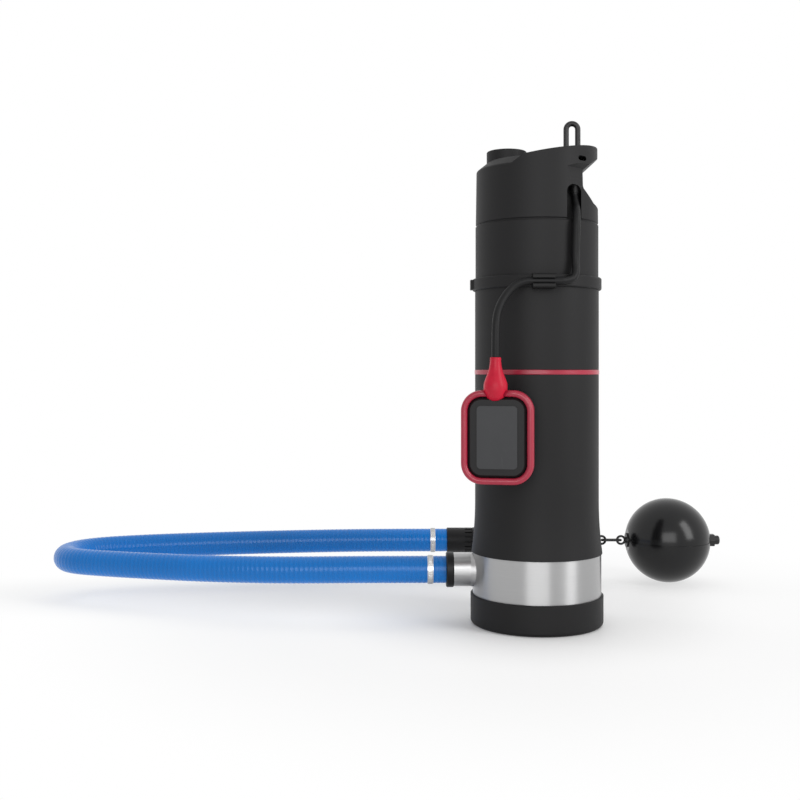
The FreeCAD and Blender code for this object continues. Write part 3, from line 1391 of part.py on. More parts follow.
def cable_clip():
    """The snap clip on the collar ring."""
    half = CABLE_R + CLIP_WALL + 0.8
    block = box(CLIP_X0, CLIP_X1, CLIP_Y - CABLE_R - 1.6, -RING_R + 6, CLIP_Z - half, CLIP_Z + half)
    corners = [e for e in block.Edges if e.BoundBox.XLength > CLIP_X1 - CLIP_X0 - 0.01
               and e.BoundBox.YMax < CLIP_Y]
    block = block.makeFillet(2.5, corners)
    block = block.cut(cylinder(RING_R, CLIP_Z - 20, CLIP_Z + 20))
    mouth = box(CLIP_X0 - 1, CLIP_X1 + 1, CLIP_Y - 20, CLIP_Y, CLIP_Z - CABLE_R + 1, CLIP_Z + CABLE_R - 1)
    return block.cut(rod_x(CABLE_R, CLIP_X0 - 1, CLIP_X1 + 1, CLIP_Y, CLIP_Z)).cut(mouth)


def head_cable():
    """The held stretch, from the gland down and round to the clip."""
    start = V(GLAND_X, GLAND_Y, gland_body().BoundBox.ZMin + 5)
    route = [start, V(GLAND_X, GLAND_Y, 471.4), V(35.4, -66.9, 454.0),
             at_cable_angle(CABLE_HOLD_R + 0.8, 424), V(33.8, -67.0, 405), V(33.9, -71.2, 390.5),
             V(28.0, -75.0, 383.0), V(CLIP_X1 + 7.4, CLIP_Y, CLIP_Z), V(CLIP_X0, CLIP_Y, CLIP_Z)]
    return route_tube(route, CABLE_R, "head cable")


def float_cable():
    """The free stretch, from its bend beside the clip to the boot."""
    boot = place_float(Part.Vertex(boot_point())).Point
    pivot = V(PIVOT_X, CLIP_Y, CLIP_Z)
    route = [pivot, V(-30.0, -79.0, 380.4), V(-43.5, -83.0, 367.0), V(-52.6, -89.0, 349.5),
             V(boot.x, boot.y, 331), V(boot.x, boot.y, BOOT_TOP_Z)]
    cable = route_tube(route, CABLE_R, "float cable")
    return cable.fuse(Part.makeSphere(CABLE_R, pivot))


# One file for each piece

PIECES = [
    base_cap, suction_band, lower_sleeve, accent_band, middle_sleeve, collar_ring, upper_sleeve, head,
    head_crown, outlet_pipe, discharge_insert, lifting_eye, float_cable_gland, power_cable_gland, cable_clip,
    cover_screws, seal_rings, motor_can, stator_core, stator_winding, motor_covers, shaft_bearings, seal_seat,
    capacitor, control_board, valve_cage, valve_spring, head_cable, hose_nut, inlet_tail, suction_hose,
    hose_clamps, strainer_socket, strainer_basket, strainer_cap, foot_valve_spring, valve_disc, foot_valve_disc,
    rotor_shaft, rotor_core, seal_face, shaft_nut, float_front, float_back, float_rim, float_boot, float_panel,
    switch_module, tilt_ball, float_cable, tether_link, ball_halves, ball_eyebolt, ball_nuts]

os.makedirs("parts", exist_ok=True)
for make_piece in PIECES:
    make_piece().exportStep("parts/" + make_piece.__name__ + ".step")
for stage in range(STAGES):
    diffuser(stage).exportStep("parts/diffuser_%d.step" % (stage + 1))
    impeller(stage).exportStep("parts/impeller_%d.step" % (stage + 1))
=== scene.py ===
import math

import bpy
import numpy as np
from bpy.props import FloatProperty, FloatVectorProperty, IntProperty, PointerProperty
from bpy.types import Operator, Panel, PropertyGroup
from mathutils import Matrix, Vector


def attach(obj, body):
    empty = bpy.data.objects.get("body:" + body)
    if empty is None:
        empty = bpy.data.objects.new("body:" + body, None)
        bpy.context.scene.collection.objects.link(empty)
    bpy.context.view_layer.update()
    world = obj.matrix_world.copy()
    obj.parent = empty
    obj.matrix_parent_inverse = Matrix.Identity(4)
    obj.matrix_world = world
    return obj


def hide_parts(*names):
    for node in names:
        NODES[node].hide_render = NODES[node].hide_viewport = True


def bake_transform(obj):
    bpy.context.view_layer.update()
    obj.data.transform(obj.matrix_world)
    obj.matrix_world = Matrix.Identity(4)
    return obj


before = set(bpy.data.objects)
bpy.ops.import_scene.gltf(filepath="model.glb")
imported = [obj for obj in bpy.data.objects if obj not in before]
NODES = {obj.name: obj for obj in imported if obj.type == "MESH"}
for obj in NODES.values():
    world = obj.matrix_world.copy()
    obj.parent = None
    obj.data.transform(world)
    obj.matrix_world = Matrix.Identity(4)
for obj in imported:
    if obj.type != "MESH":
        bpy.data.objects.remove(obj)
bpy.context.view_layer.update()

bl_info = {
    "name": "Sump Pump with Float Switch",
    "version": (1, 0, 0),
    "blender": (4, 5, 0),
    "location": "3D View > Sidebar > Sump Pump",
    "description": "Dresses the submersible pump, its suction hose and its floats",
    "category": "Add Mesh",
}

# The suction hose's route, in metres, as in the part's source
HOSE_ROUTE = (
    (-0.103, 0, 0.0602), (-0.190, 0, 0.0602), (-0.290, 0.004, 0.0586), (-0.378, 0.019, 0.0576),
    (-0.450, 0.043, 0.0564), (-0.508, 0.064, 0.0556), (-0.554, 0.085, 0.0550), (-0.5725, 0.115, 0.0546),
    (-0.5705, 0.149, 0.0544), (-0.550, 0.177, 0.0545), (-0.503, 0.196, 0.0549), (-0.440, 0.210, 0.0554),
    (-0.355, 0.224, 0.0559), (-0.260, 0.236, 0.0563), (-0.170, 0.242, 0.0565), (-0.092, 0.242, 0.0565))
HOSE_SIDES = 44
HOSE_PATH_STEP = 0.004
STEPS_PER_RIB = 10
RIB_SHARPNESS = 1.6

# The float switch's cable: its held stretch down to the clip, then its free stretch to the boot
CABLE_HELD = (
    (0.0368, -0.0455, 0.4860), (0.0368, -0.0455, 0.4714), (0.0354, -0.0669, 0.4540),
    (0.03414, -0.0670, 0.4240), (0.0338, -0.0670, 0.4050), (0.0339, -0.0712, 0.3905),
    (0.0280, -0.0750, 0.3830), (0.0174, -0.0782, 0.3822))
CABLE_FREE = (
    (-0.0186, -0.0782, 0.3822), (-0.0300, -0.0790, 0.3804), (-0.0435, -0.0830, 0.3670),
    (-0.0526, -0.0890, 0.3495), (-0.05486, -0.0946, 0.3310), (-0.05486, -0.0946, 0.3000))
CABLE_STEP = 0.0008
CABLE_SIDES = 48
CABLE_LINES = 12
CABLE_REFERENCE = (0.25, 1, 0.2)

# The bands of the clamps on the hose's two ends: each sinks a little into the hose's skin
INLET_Z = 0.0602
LINE_Y = 0.242
LINE_Z = 0.0565
CLAMPS = (("inlet_clamp_band", (-0.121, 0.0, INLET_Z)), ("line_clamp_band", (-0.111, LINE_Y, LINE_Z)))
CLAMP_THICKNESS = 0.0009
CLAMP_SINK = 0.0006
CLAMP_SLOT_DEPTH = 0.0003
CLAMP_SLOT_SPAN = 0.62
CLAMP_SLOT_SPACING = 0.45
STEPS_PER_SLOT = 12

# The float switch, upright in its own frame, and its rim, whose two ends are tucked into the boot
FLOAT_CENTRE = (-0.0503, -0.0828, 0.2162)
FLOAT_TURN = math.radians(-12.0)
FLOAT_WIDTH = 0.0768
FLOAT_HEIGHT = 0.0992
FLOAT_CORNER = 0.0220
RIM_WIDTH = 0.0070
RIM_FRONT = -0.0190
RIM_BACK = -0.0060
RIM_BACK_EDGE = 0.0020
RIM_TUCK = 0.0003
RIM_CORNER_STEPS = 16

# The boot's axis in the float switch's frame, and its profile as radius and height from the cable's end
BOOT_AXIS = (-0.0020, -0.0125)
BOOT_OUTLINE = (
    (0.0, 0.0004), (0.0052, 0.0003), (0.0058, -0.0012), (0.0060, -0.0060), (0.0074, -0.0135),
    (0.0100, -0.0205), (0.0121, -0.0265), (0.0126, -0.0310), (0.0119, -0.0365), (0.0092, -0.0420),
    (0.0050, -0.0452), (0.0, -0.0462))
BOOT_STEPS = 10
BOOT_SIDES = 96
BOOT_FLATNESS = 0.98
BOOT_TIP = 0.00002

# The outlet's threaded insert: the thread fades out towards both ends of the bore
OUTLET_X = -0.034
OUTLET_TOP = 0.5350
OUTLET_BORE = 0.01515
OUTLET_RADIUS = 0.0180
OUTLET_LENGTH = 0.0200
OUTLET_EDGE = 0.0004
OUTLET_FLARE = 0.0010
THREAD_PITCH = 0.002309
THREAD_DEPTH = 0.00145
THREAD_RUN_OUT = 0.0012
THREAD_SLOPE = 1.25
THREAD_ROOT = 0.1
STEPS_PER_THREAD = 12
OUTLET_SIDES = 96

# The non-return valve's spring, under the outlet
SPRING_FOOT = (OUTLET_X, 0.0, 0.47205)
SPRING_LENGTH = 0.021
SPRING_TURNS = 5
SPRING_RADIUS = 0.0065
SPRING_WIRE = 0.0006
SPRING_SIDES = 14
SPRING_STEPS = 40

# Metal colours that more than one piece has
BRIGHT_STEEL = (0.58, 0.58, 0.59)
BRASS = (0.62, 0.43, 0.17)

# Camera, lamps and floor, with the middles of the shade that the base and the hose throw, round which the
# floor's painted glow is held back
CAMERA_PLACE = (-0.1554, -1.252, 0.286)
CAMERA_SHIFT = -0.03625
SENSOR_WIDTH = 36.0
LAMP_AIM = (-0.1, 0.05, 0.25)
FLOOR_MIDDLE = (-0.15, 0.1, 0.0)
FLOOR_RINGS = (0.00001, 0.5, 1.2, 2.4, 5.0, 12.0)
FLOOR_SIDES = 96
FLOOR_DROP = 0.0002
BASE_SHADE = (0.0, 0.05)
HOSE_SHADE = (-0.28, 0.16)
SURROUNDINGS_LIGHT = 0.42


# The sizes and colours that a user would change

class HoseSettings(PropertyGroup):
    """Sizes and colour of the suction hose."""
    radius: FloatProperty(
        name="Radius", description="Radius over the ribs", default=0.01535, unit="LENGTH")
    rib_pitch: FloatProperty(
        name="Rib pitch", description="Distance from one rib to the next", default=0.0055, unit="LENGTH")
    rib_height: FloatProperty(
        name="Rib height", description="How far a rib stands out", default=0.00022, unit="LENGTH")
    color: FloatVectorProperty(
        name="Colour", description="Colour of the hose", subtype="COLOR", size=3,
        default=(0.002, 0.176, 0.590))


class CableSettings(PropertyGroup):
    """Sizes and colours of the float switch's cable and boot."""
    radius: FloatProperty(
        name="Radius", description="Radius of the cable", default=0.00425, unit="LENGTH")
    color: FloatVectorProperty(
        name="Cable colour", description="Colour of the cable", subtype="COLOR", size=3,
        default=(0.004, 0.004, 0.0045))
    boot_color: FloatVectorProperty(
        name="Boot colour", description="Colour of the cable boot", subtype="COLOR", size=3,
        default=(0.56, 0.010, 0.036))


class CasingSettings(PropertyGroup):
    """Colours of the casing and the float switch."""
    black: FloatVectorProperty(
        name="Black plastic", description="Colour of the moulded casing", subtype="COLOR", size=3,
        default=(0.0088, 0.0086, 0.0092))
    accent: FloatVectorProperty(
        name="Accent", description="Colour of the trim ring and the float's rim", subtype="COLOR", size=3,
        default=(0.40, 0.012, 0.042))
    panel: FloatVectorProperty(
        name="Panel", description="Colour of the float's panel", subtype="COLOR", size=3,
        default=(0.048, 0.049, 0.052))
    steel: FloatVectorProperty(
        name="Steel", description="Colour of the inlet band", subtype="COLOR", size=3,
        default=(0.40, 0.40, 0.402))


class ClampSettings(PropertyGroup):
    """Sizes of the two hose clamps."""
    width: FloatProperty(
        name="Band width", description="Width of a clamp's band", default=0.0065, unit="LENGTH")
    slots: IntProperty(
        name="Slots", description="Worm slots round a clamp's band", default=46, min=8, max=90)


class StageSettings(PropertyGroup):
    """Light, floor and camera."""
    floor: FloatVectorProperty(
        name="Floor colour", description="Colour of the floor", subtype="COLOR", size=3,
        default=(0.93, 0.93, 0.93))
    lens: FloatProperty(
        name="Lens", description="Focal length of the camera in millimetres", default=49.5)
    top: FloatProperty(
        name="Top light", description="Power of the lamp above, in watts", default=20.0)
    right: FloatProperty(
        name="Right light", description="Power of the lamp on the right, in watts", default=24.0)
    front: FloatProperty(
        name="Front light", description="Power of the wide lamp behind the camera, in watts", default=20.0)
    left: FloatProperty(
        name="Left light", description="Power of the narrow lamp behind on the left, in watts", default=6.0)


# Surfaces: whole arrays of points, then one mesh

def grid_faces(rows, columns, wrap_rows):
    """Quads of a grid that closes on itself across: point (i, j) has the number i * columns + j."""
    i, j = np.meshgrid(np.arange(rows if wrap_rows else rows - 1), np.arange(columns), indexing="ij")
    i, j = i.ravel(), j.ravel()
    down, right = (i + 1) % rows, (j + 1) % columns
    upper, lower = i * columns, down * columns
    return np.stack((upper + j, upper + right, lower + right, lower + j), axis=1)


def surface(name, grid, wrap_rows=False, caps=False, flip=False):
    """An object from a grid of points. caps close the first and last row by a fan to the row's middle."""
    rows, columns = grid.shape[:2]
    points = grid.reshape(-1, 3)
    faces = grid_faces(rows, columns, wrap_rows)
    polygons = (faces[:, ::-1] if flip else faces).tolist()
    if caps:
        middles = np.array((grid[0].mean(axis=0), grid[-1].mean(axis=0)))
        points = np.concatenate((points, middles))
        here = np.arange(columns)
        beside = (here + 1) % columns
        last = (rows - 1) * columns
        start = np.stack((beside, here, np.full(columns, rows * columns)), axis=1)
        end = np.stack((last + here, last + beside, np.full(columns, rows * columns + 1)), axis=1)
        fans = np.concatenate((start, end))
        polygons += (fans[:, ::-1] if flip else fans).tolist()
    return add_object(name, points, polygons)


def add_object(name, points, polygons):
    """A smooth-shaded object at the origin, with its place in its mesh."""
    mesh = bpy.data.meshes.new(name)
    mesh.from_pydata(points.tolist(), [], polygons)
    mesh.update()
    mesh.shade_smooth()
    piece = bpy.data.objects.new(name, mesh)
    bpy.context.scene.collection.objects.link(piece)
    return piece


def around(count):
    """Angles of so many points round a full turn."""
    return np.linspace(0, 2 * np.pi, count, endpoint=False)


def turned_grid(profile, columns):
    """Points of a surface turned round Z: radius r(u) at height h(u), for the angle v."""
    angle = around(columns)
    radius, height = profile[:, :1], profile[:, 1:2]
    across, up = radius * np.cos(angle), radius * np.sin(angle)
    return np.stack((across, up, np.broadcast_to(height, across.shape)), axis=-1)


def smooth_line(points, steps):
    """A Catmull-Rom line through points, with steps between each two."""
    padded = np.concatenate((2 * points[:1] - points[1:2], points, 2 * points[-1:] - points[-2:-1]))
    before, start, end, after = padded[:-3], padded[1:-2], padded[2:-1], padded[3:]
    t = np.linspace(0, 1, steps, endpoint=False)[None, :, None]
    before, start, end, after = (part[:, None] for part in (before, start, end, after))
    line = 0.5 * (2 * start + (end - before) * t + (2 * before - 5 * start + 4 * end - after) * t ** 2
                  + (3 * start - before - 3 * end + after) * t ** 3)
    return np.concatenate((line.reshape(-1, points.shape[1]), points[-1:]))


def spline_curve(name, route):
    """A curve of one open, smooth spline with the route's points as its control points."""
    data = bpy.data.curves.new(name, "CURVE")
    data.dimensions = "3D"
    data.resolution_u = 48
    spline = data.splines.new("NURBS")
    spline.points.add(len(route) - 1)
    for point, place in zip(spline.points, route):
        point.co = (*place, 1.0)
    spline.order_u = 3
    spline.use_endpoint_u = True
    return bpy.data.objects.new(name, data)


def spline_stations(route, step):
    """Evenly spaced points on the route's spline, the directions there and how far along they are."""
    line = spline_curve("route", route)
    bpy.context.scene.collection.objects.link(line)
    bpy.context.view_layer.update()
    mesh = bpy.data.meshes.new_from_object(line.evaluated_get(bpy.context.evaluated_depsgraph_get()))
    points = np.empty(len(mesh.vertices) * 3)
    mesh.vertices.foreach_get("co", points)
    bpy.data.objects.remove(line)
    bpy.data.meshes.remove(mesh)
    return even_stations(points.reshape(-1, 3), step)


def even_stations(points, step):
    """The same line at even steps: places at equal shares of its length, and unit directions."""
    gaps = np.linalg.norm(np.diff(points, axis=0), axis=1)
    points = points[np.concatenate(([True], gaps > 1e-9))]
    run = np.concatenate(([0], np.cumsum(np.linalg.norm(np.diff(points, axis=0), axis=1))))
    count = max(2, int(round(run[-1] / step)) + 1)
    at = np.linspace(0, run[-1], count)
    even = np.stack([np.interp(at, run, points[:, k]) for k in range(3)], axis=1)
    return even, unit_directions(even), at


def unit_directions(places):
    """The direction of a line at each of its places, one unit long."""
    direction = np.gradient(places, axis=0)
    return direction / np.linalg.norm(direction, axis=1, keepdims=True)


def carried_grid(places, directions, radius, columns, reference):
    """A profile carried along a path: place + r(s, v) * (n cos v + b sin v).

    n is square to the path and as near the reference as it can be, and b is square to both.
    """
    reference = np.asarray(reference, dtype=float)
    normal = reference - directions * (directions @ reference)[:, None]
    normal /= np.linalg.norm(normal, axis=1, keepdims=True)
    side = np.cross(directions, normal)
    angle = around(columns)
    ring = normal[:, None] * np.cos(angle)[None, :, None] + side[:, None] * np.sin(angle)[None, :, None]
    return places[:, None] + np.asarray(radius)[..., None] * ring


def store(piece, name, values):
    """Keeps a number for each point of a piece, for its material to read."""
    attribute = piece.data.attributes.new(name, "FLOAT", "POINT")
    padded = np.zeros(len(piece.data.vertices))
    padded[:values.size] = values.ravel()
    attribute.data.foreach_set("value", padded)


def in_float_frame(points):
    """Turns points from the float switch's own upright frame into place."""
    cos, sin = math.cos(FLOAT_TURN), math.sin(FLOAT_TURN)
    turned = points.copy()
    turned[..., 0] = points[..., 0] * cos - points[..., 1] * sin
    turned[..., 1] = points[..., 0] * sin + points[..., 1] * cos
    return turned + np.asarray(FLOAT_CENTRE)


# Shader maths written as sums

class Value:
    """A socket that Python's operators join with Math nodes."""

    def __init__(self, finish, socket):
        self.finish = finish
        self.socket = socket

    def __add__(self, other):
        return self.finish.maths("ADD", self, other)

    def __sub__(self, other):
        return self.finish.maths("SUBTRACT", self, other)

    def __rsub__(self, other):
        return self.finish.maths("SUBTRACT", other, self)

    def __mul__(self, other):
        return self.finish.maths("MULTIPLY", self, other)

    def __truediv__(self, other):
        return self.finish.maths("DIVIDE", self, other)

    __radd__ = __add__
    __rmul__ = __mul__


class Finish:
    """One procedural material, built node by node round a Principled shader."""

    def __init__(self, name):
        self.material = bpy.data.materials.new(name)
        self.material.use_nodes = True
        self.tree = self.material.node_tree
        self.tree.nodes.clear()
        self.shader = self.tree.nodes.new("ShaderNodeBsdfPrincipled")
        self.output = self.tree.nodes.new("ShaderNodeOutputMaterial")
        self.tree.links.new(self.shader.outputs["BSDF"], self.output.inputs["Surface"])
        self.place = self.node("ShaderNodeTexCoord", out="Object")

    def feed(self, socket, value):
        """Links a Value to a socket, or sets a plain number or colour on it."""
        if isinstance(value, Value):
            self.tree.links.new(value.socket, socket)
        elif socket.type == "RGBA":
            socket.default_value = (*value, 1.0)
        else:
            socket.default_value = value

    def node(self, kind, settings=None, out=0, **sockets):
        """A node of a kind: its settings first, then its sockets by name or as i0, i1 and so on.

        What comes back is one of its outputs, as a Value.
        """
        node = self.tree.nodes.new(kind)
        for key, value in (settings or {}).items():
            setattr(node, key, value)
        for key, value in sockets.items():
            self.feed(node.inputs[int(key[1:]) if key[1:].isdigit() else key], value)
        return Value(self, node.outputs[out])

    def maths(self, operation, first, second=0.0):
        return self.node("ShaderNodeMath", {"operation": operation}, i0=first, i1=second)

    def clamp(self, value):
        return self.node("ShaderNodeClamp", i0=value)

    def mix(self, share, first, second):
        """A colour between two, by a share from 0 to 1."""
        return self.node("ShaderNodeMix", {"data_type": "RGBA"}, out=2, i0=share, i6=first, i7=second)

    def stretch(self, scale):
        """The place on the object, with each axis scaled by itself."""
        return self.node("ShaderNodeVectorMath", {"operation": "MULTIPLY"}, i0=self.place, i1=scale)

    def noise(self, scale, detail=2.0, vector=None, rough=0.5):
        return self.node(
            "ShaderNodeTexNoise", Vector=vector or self.place, Scale=scale, Detail=detail, Roughness=rough)

    def cells(self, scale, vector=None):
        return self.node("ShaderNodeTexVoronoi", out="Distance", Vector=vector or self.place, Scale=scale)

    def axis(self, name):
        return self.node("ShaderNodeSeparateXYZ", out=name, Vector=self.place)

    def distance(self, x, y, longer=1.0):
        """How far a point of the floor is from (x, y), with distances along X counted as shorter."""
        across, along = (self.axis("X") - x) / longer, self.axis("Y") - y
        return self.maths("SQRT", across * across + along * along)

    def bump(self, height, depth, strength):
        return self.node("ShaderNodeBump", Height=height, Distance=depth, Strength=strength)

    def step(self, value, low, high):
        """A smooth rise from 0 to 1 as a value goes from low to high."""
        return self.node("ShaderNodeMapRange", {"interpolation_type": "SMOOTHSTEP"}, out="Result",
                         i0=value, i1=low, i2=high, i3=0.0, i4=1.0)

    def attribute(self, name):
        return self.node("ShaderNodeAttribute", {"attribute_name": name}, out="Fac")

    def surface(self, **sockets):
        """Sets the shader's sockets by their names, with _ for a space, and returns the material."""
        for key, value in sockets.items():
            self.feed(self.shader.inputs[key.replace("_", " ")], value)
        return self.material


def tint(color, share):
    """A colour made darker or lighter."""
    return tuple(min(1.0, channel * share) for channel in color)


# Finishes

def moulded_plastic(name, color, roughness, grain=1500.0, depth=0.00003):
    """Injection-moulded plastic: a fine spark-eroded grain and slow, faint changes of tone."""
    f = Finish(name)
    slow = f.noise(22.0, 3.0)
    grit = f.noise(grain, 2.0)
    scuff = f.step(f.noise(260.0, 4.0, f.stretch((1.0, 1.0, 0.25))), 0.66, 0.78)
    tone = f.mix(slow, tint(color, 0.84), tint(color, 1.18))
    return f.surface(
        Base_Color=f.mix(scuff * 0.10, tone, tint(color, 2.2)),
        Roughness=f.clamp(roughness + (slow - 0.5) * 0.10 + (grit - 0.5) * 0.08 - scuff * 0.05),
        Specular_IOR_Level=0.22, Normal=f.bump(grit, depth, 0.6))


def gloss_plastic(name, color, roughness, coat=0.25, gloss=0.4):
    """Smooth coloured plastic with a faint orange-peel skin."""
    f = Finish(name)
    slow = f.noise(30.0, 2.0)
    peel = f.noise(420.0, 2.0)
    return f.surface(
        Base_Color=f.mix(slow, tint(color, 0.90), tint(color, 1.10)),
        Roughness=f.clamp(roughness + (slow - 0.5) * 0.06 + (peel - 0.5) * 0.05),
        Coat_Weight=coat, Coat_Roughness=0.12, Specular_IOR_Level=gloss, Normal=f.bump(peel, 0.00002, 0.5))


def soft_rubber(name, color, roughness=0.5, gloss=0.35):
    """Moulded rubber: dull, with a fine skin and a trace of bloom."""
    f = Finish(name)
    bloom = f.noise(90.0, 4.0)
    skin = f.noise(1900.0, 2.0)
    return f.surface(
        Base_Color=f.mix(f.step(bloom, 0.45, 0.75) * 0.5, color, tint(color, 1.35)),
        Roughness=f.clamp(roughness + (bloom - 0.5) * 0.16), Specular_IOR_Level=gloss,
        Normal=f.bump(skin, 0.00002, 0.5))


def brushed_steel(name, color, roughness, lines, spread=0.0):
    """Brushed steel: noise drawn out along the brushing, and reflections spread across it.

    lines is how fast the noise changes along X, Y and Z.
    """
    f = Finish(name)
    hair = f.noise(1.0, 3.0, f.stretch(lines), 0.65)
    broad = f.noise(1.0, 2.0, f.stretch(tuple(part * 0.18 for part in lines)))
    return f.surface(
        Base_Color=f.mix(hair, tint(color, 0.92), tint(color, 1.08)), Metallic=1.0,
        Roughness=f.clamp(roughness + (hair - 0.5) * 0.16 + (broad - 0.5) * 0.10),
        Anisotropic=spread, Anisotropic_Rotation=0.25, Normal=f.bump(hair, 0.000008, 0.4))


def drawn_steel(name, color, roughness):
    """Bright drawn wire and turned metal, lightly marked by handling."""
    f = Finish(name)
    marks = f.step(f.noise(700.0, 5.0), 0.58, 0.75)
    slow = f.noise(60.0, 2.0)
    return f.surface(
        Base_Color=f.mix(marks * 0.5, color, tint(color, 0.72)), Metallic=1.0,
        Roughness=f.clamp(roughness + marks * 0.14 + (slow - 0.5) * 0.10),
        Normal=f.bump(marks, 0.00001, 0.4))


def coated_steel(name, color):
    """Steel wire and nuts under a thin black coating, rubbed paler in specks."""
    f = Finish(name)
    rubbed = f.step(f.noise(900.0, 4.0), 0.66, 0.80)
    slow = f.noise(80.0, 2.0)
    return f.surface(
        Base_Color=f.mix(rubbed * 0.3, color, tint(color, 6.0)), Specular_IOR_Level=0.35,
        Roughness=f.clamp(0.38 + (slow - 0.5) * 0.12 - rubbed * 0.06), Normal=f.bump(slow, 0.00002, 0.4))


def cast_metal(name, color):
    """Cast or stamped iron: pitted, and patchy in its shine."""
    f = Finish(name)
    pits = f.cells(520.0)
    patch = f.noise(70.0, 4.0)
    return f.surface(
        Base_Color=f.mix(patch, tint(color, 0.75), tint(color, 1.15)), Metallic=0.85,
        Roughness=f.clamp(0.5 + (patch - 0.5) * 0.25), Normal=f.bump(pits, 0.00008, 0.5))


def wound_copper(name, color):
    """Enamelled wire laid side by side: narrow ridges along the winding, painted darker in the valleys
    between the wires as painted shade, with varnish over them.
    """
    f = Finish(name)
    strand = f.maths("SINE", f.axis("Z") * 5200.0) * 0.5 + 0.5
    varnish = f.noise(120.0, 3.0)
    return f.surface(
        # painted shade: the valleys between the wires darker
        Base_Color=f.mix(strand, tint(color, 0.55), color), Metallic=0.8,
        Roughness=f.clamp(0.28 + (varnish - 0.5) * 0.2), Coat_Weight=0.5, Coat_Roughness=0.1,
        Normal=f.bump(strand, 0.0002, 0.6))


def laminated_iron(name, color):
    """A stack of stamped sheets: fine dark lines between the sheets' edges."""
    f = Finish(name)
    sheet = f.maths("SINE", f.axis("Z") * 9000.0) * 0.5 + 0.5
    rust = f.step(f.noise(160.0, 5.0), 0.60, 0.80)
    return f.surface(
        Base_Color=f.mix(rust * 0.3, f.mix(sheet, tint(color, 0.5), color), (0.20, 0.10, 0.05)),
        Metallic=0.8, Roughness=f.clamp(0.42 + sheet * 0.12), Normal=f.bump(sheet, 0.00006, 0.5))


def circuit_board(name, color):
    """A lacquered board: blocks of fine conductor lines under a green lacquer."""
    f = Finish(name)
    blocks = f.cells(160.0, f.stretch((1.0, 1.0, 0.2)))
    lines = f.step(
        f.maths("SINE", f.axis("X") * 4200.0) * f.maths("SINE", f.axis("Y") * 2600.0), 0.1, 0.3)
    return f.surface(
        Base_Color=f.mix(lines * f.step(blocks, 0.2, 0.5), color, tint(color, 1.9)),
        Roughness=f.clamp(0.32 + blocks * 0.1), Coat_Weight=0.4, Normal=f.bump(lines, 0.00003, 0.4))


def hose_skin(name, color):
    """The hose's plastic: painted shade darkens the valleys between ribs and painted highlight lightens the
    crests; the valleys are also duller, and dust lies in patches.
    """
    f = Finish(name)
    crest = f.attribute("crest")
    slow = f.noise(14.0, 3.0)
    grit = f.noise(900.0, 2.0)
    # painted shade and highlight: the rib valleys a little darker, the crests a little lighter
    tone = f.mix(crest, tint(color, 0.96), tint(color, 1.04))
    return f.surface(
        Base_Color=f.mix(f.step(slow, 0.35, 0.75) * 0.35, tone, tint(color, 1.2)),
        Roughness=f.clamp(0.30 - crest * 0.08 + (grit - 0.5) * 0.06 + (slow - 0.5) * 0.08),
        Specular_IOR_Level=0.30, Normal=f.bump(grit, 0.00002, 0.2))


def cable_sheath(name, color):
    """The cable's rubber sheath, with the faint lengthwise lines of its drawing."""
    f = Finish(name)
    lines = f.attribute("lines")
    skin = f.noise(1600.0, 2.0)
    return f.surface(
        Base_Color=f.mix(f.noise(60.0, 3.0), tint(color, 0.8), tint(color, 1.3)),
        Roughness=f.clamp(0.48 + (skin - 0.5) * 0.12 + lines * 0.06), Specular_IOR_Level=0.22,
        Normal=f.bump(lines, 0.00004, 0.5))


# Pieces: each operator builds one piece or one group of like pieces

def settings():
    """The scene, which holds the settings of every piece."""
    return bpy.context.scene


def place_piece(piece, material, slot, body, *nodes):
    """Gives a new piece its material, hides the CAD nodes that it stands for and puts it under its body; slot
    is not used.
    """
    piece.data.materials.append(material)
    if nodes:
        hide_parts(*nodes)
    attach(piece, body)


class SUMP_OT_hose(Operator):
    """Builds the ribbed suction hose along its route"""
    bl_idname = "sump.hose"
    bl_label = "Suction hose"

    def execute(self, context):
        """r(s, v) = R - h * (1 - crest), carried along the route: one low rib that winds round.

        crest is a cosine wave of s / pitch - v / (2 pi), raised to a power so that the ribs are narrow.
        """
        given = settings().sump_hose
        places, directions, run = spline_stations(HOSE_ROUTE, given.rib_pitch / STEPS_PER_RIB)
        phase = 2 * np.pi * run[:, None] / given.rib_pitch - around(HOSE_SIDES)[None, :]
        crest = (0.5 + 0.5 * np.cos(phase)) ** RIB_SHARPNESS
        ends = np.clip(np.minimum(run, run[-1] - run) / (2 * given.rib_pitch), 0, 1)[:, None]
        radius = given.radius - given.rib_height * (1 - crest * ends)
        grid = carried_grid(places, directions, radius, HOSE_SIDES, (0, 0, 1))
        piece = surface("suction_hose_skin", grid, caps=True)
        store(piece, "crest", crest * ends)
        place_piece(piece, hose_skin("hose_blue", tuple(given.color)), "hose_blue", "pump", "suction_hose")
        return {"FINISHED"}


class SUMP_OT_cable(Operator):
    """Builds the float switch's cable, from the head's gland down to the boot"""
    bl_idname = "sump.cable"
    bl_label = "Float switch cable"

    def execute(self, context):
        """A circle of radius R carried along the held route and the free route, as one tube."""
        given = settings().sump_cable
        held = spline_stations(CABLE_HELD, CABLE_STEP)[0]
        free = spline_stations(CABLE_FREE, CABLE_STEP)[0]
        whole = np.concatenate((held, free))
        places, directions, run = even_stations(whole, CABLE_STEP)
        radius = np.full((len(run), CABLE_SIDES), given.radius)
        grid = carried_grid(places, directions, radius, CABLE_SIDES, CABLE_REFERENCE)
        piece = surface("float_lead", grid, caps=True)
        lines = 0.5 + 0.5 * np.cos(CABLE_LINES * around(CABLE_SIDES))
        store(piece, "lines", np.broadcast_to(lines, radius.shape))
        piece.data.materials.append(cable_sheath("cable_rubber", tuple(given.color)))
        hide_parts("head_cable", "float_cable")
        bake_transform(piece)
        return {"FINISHED"}


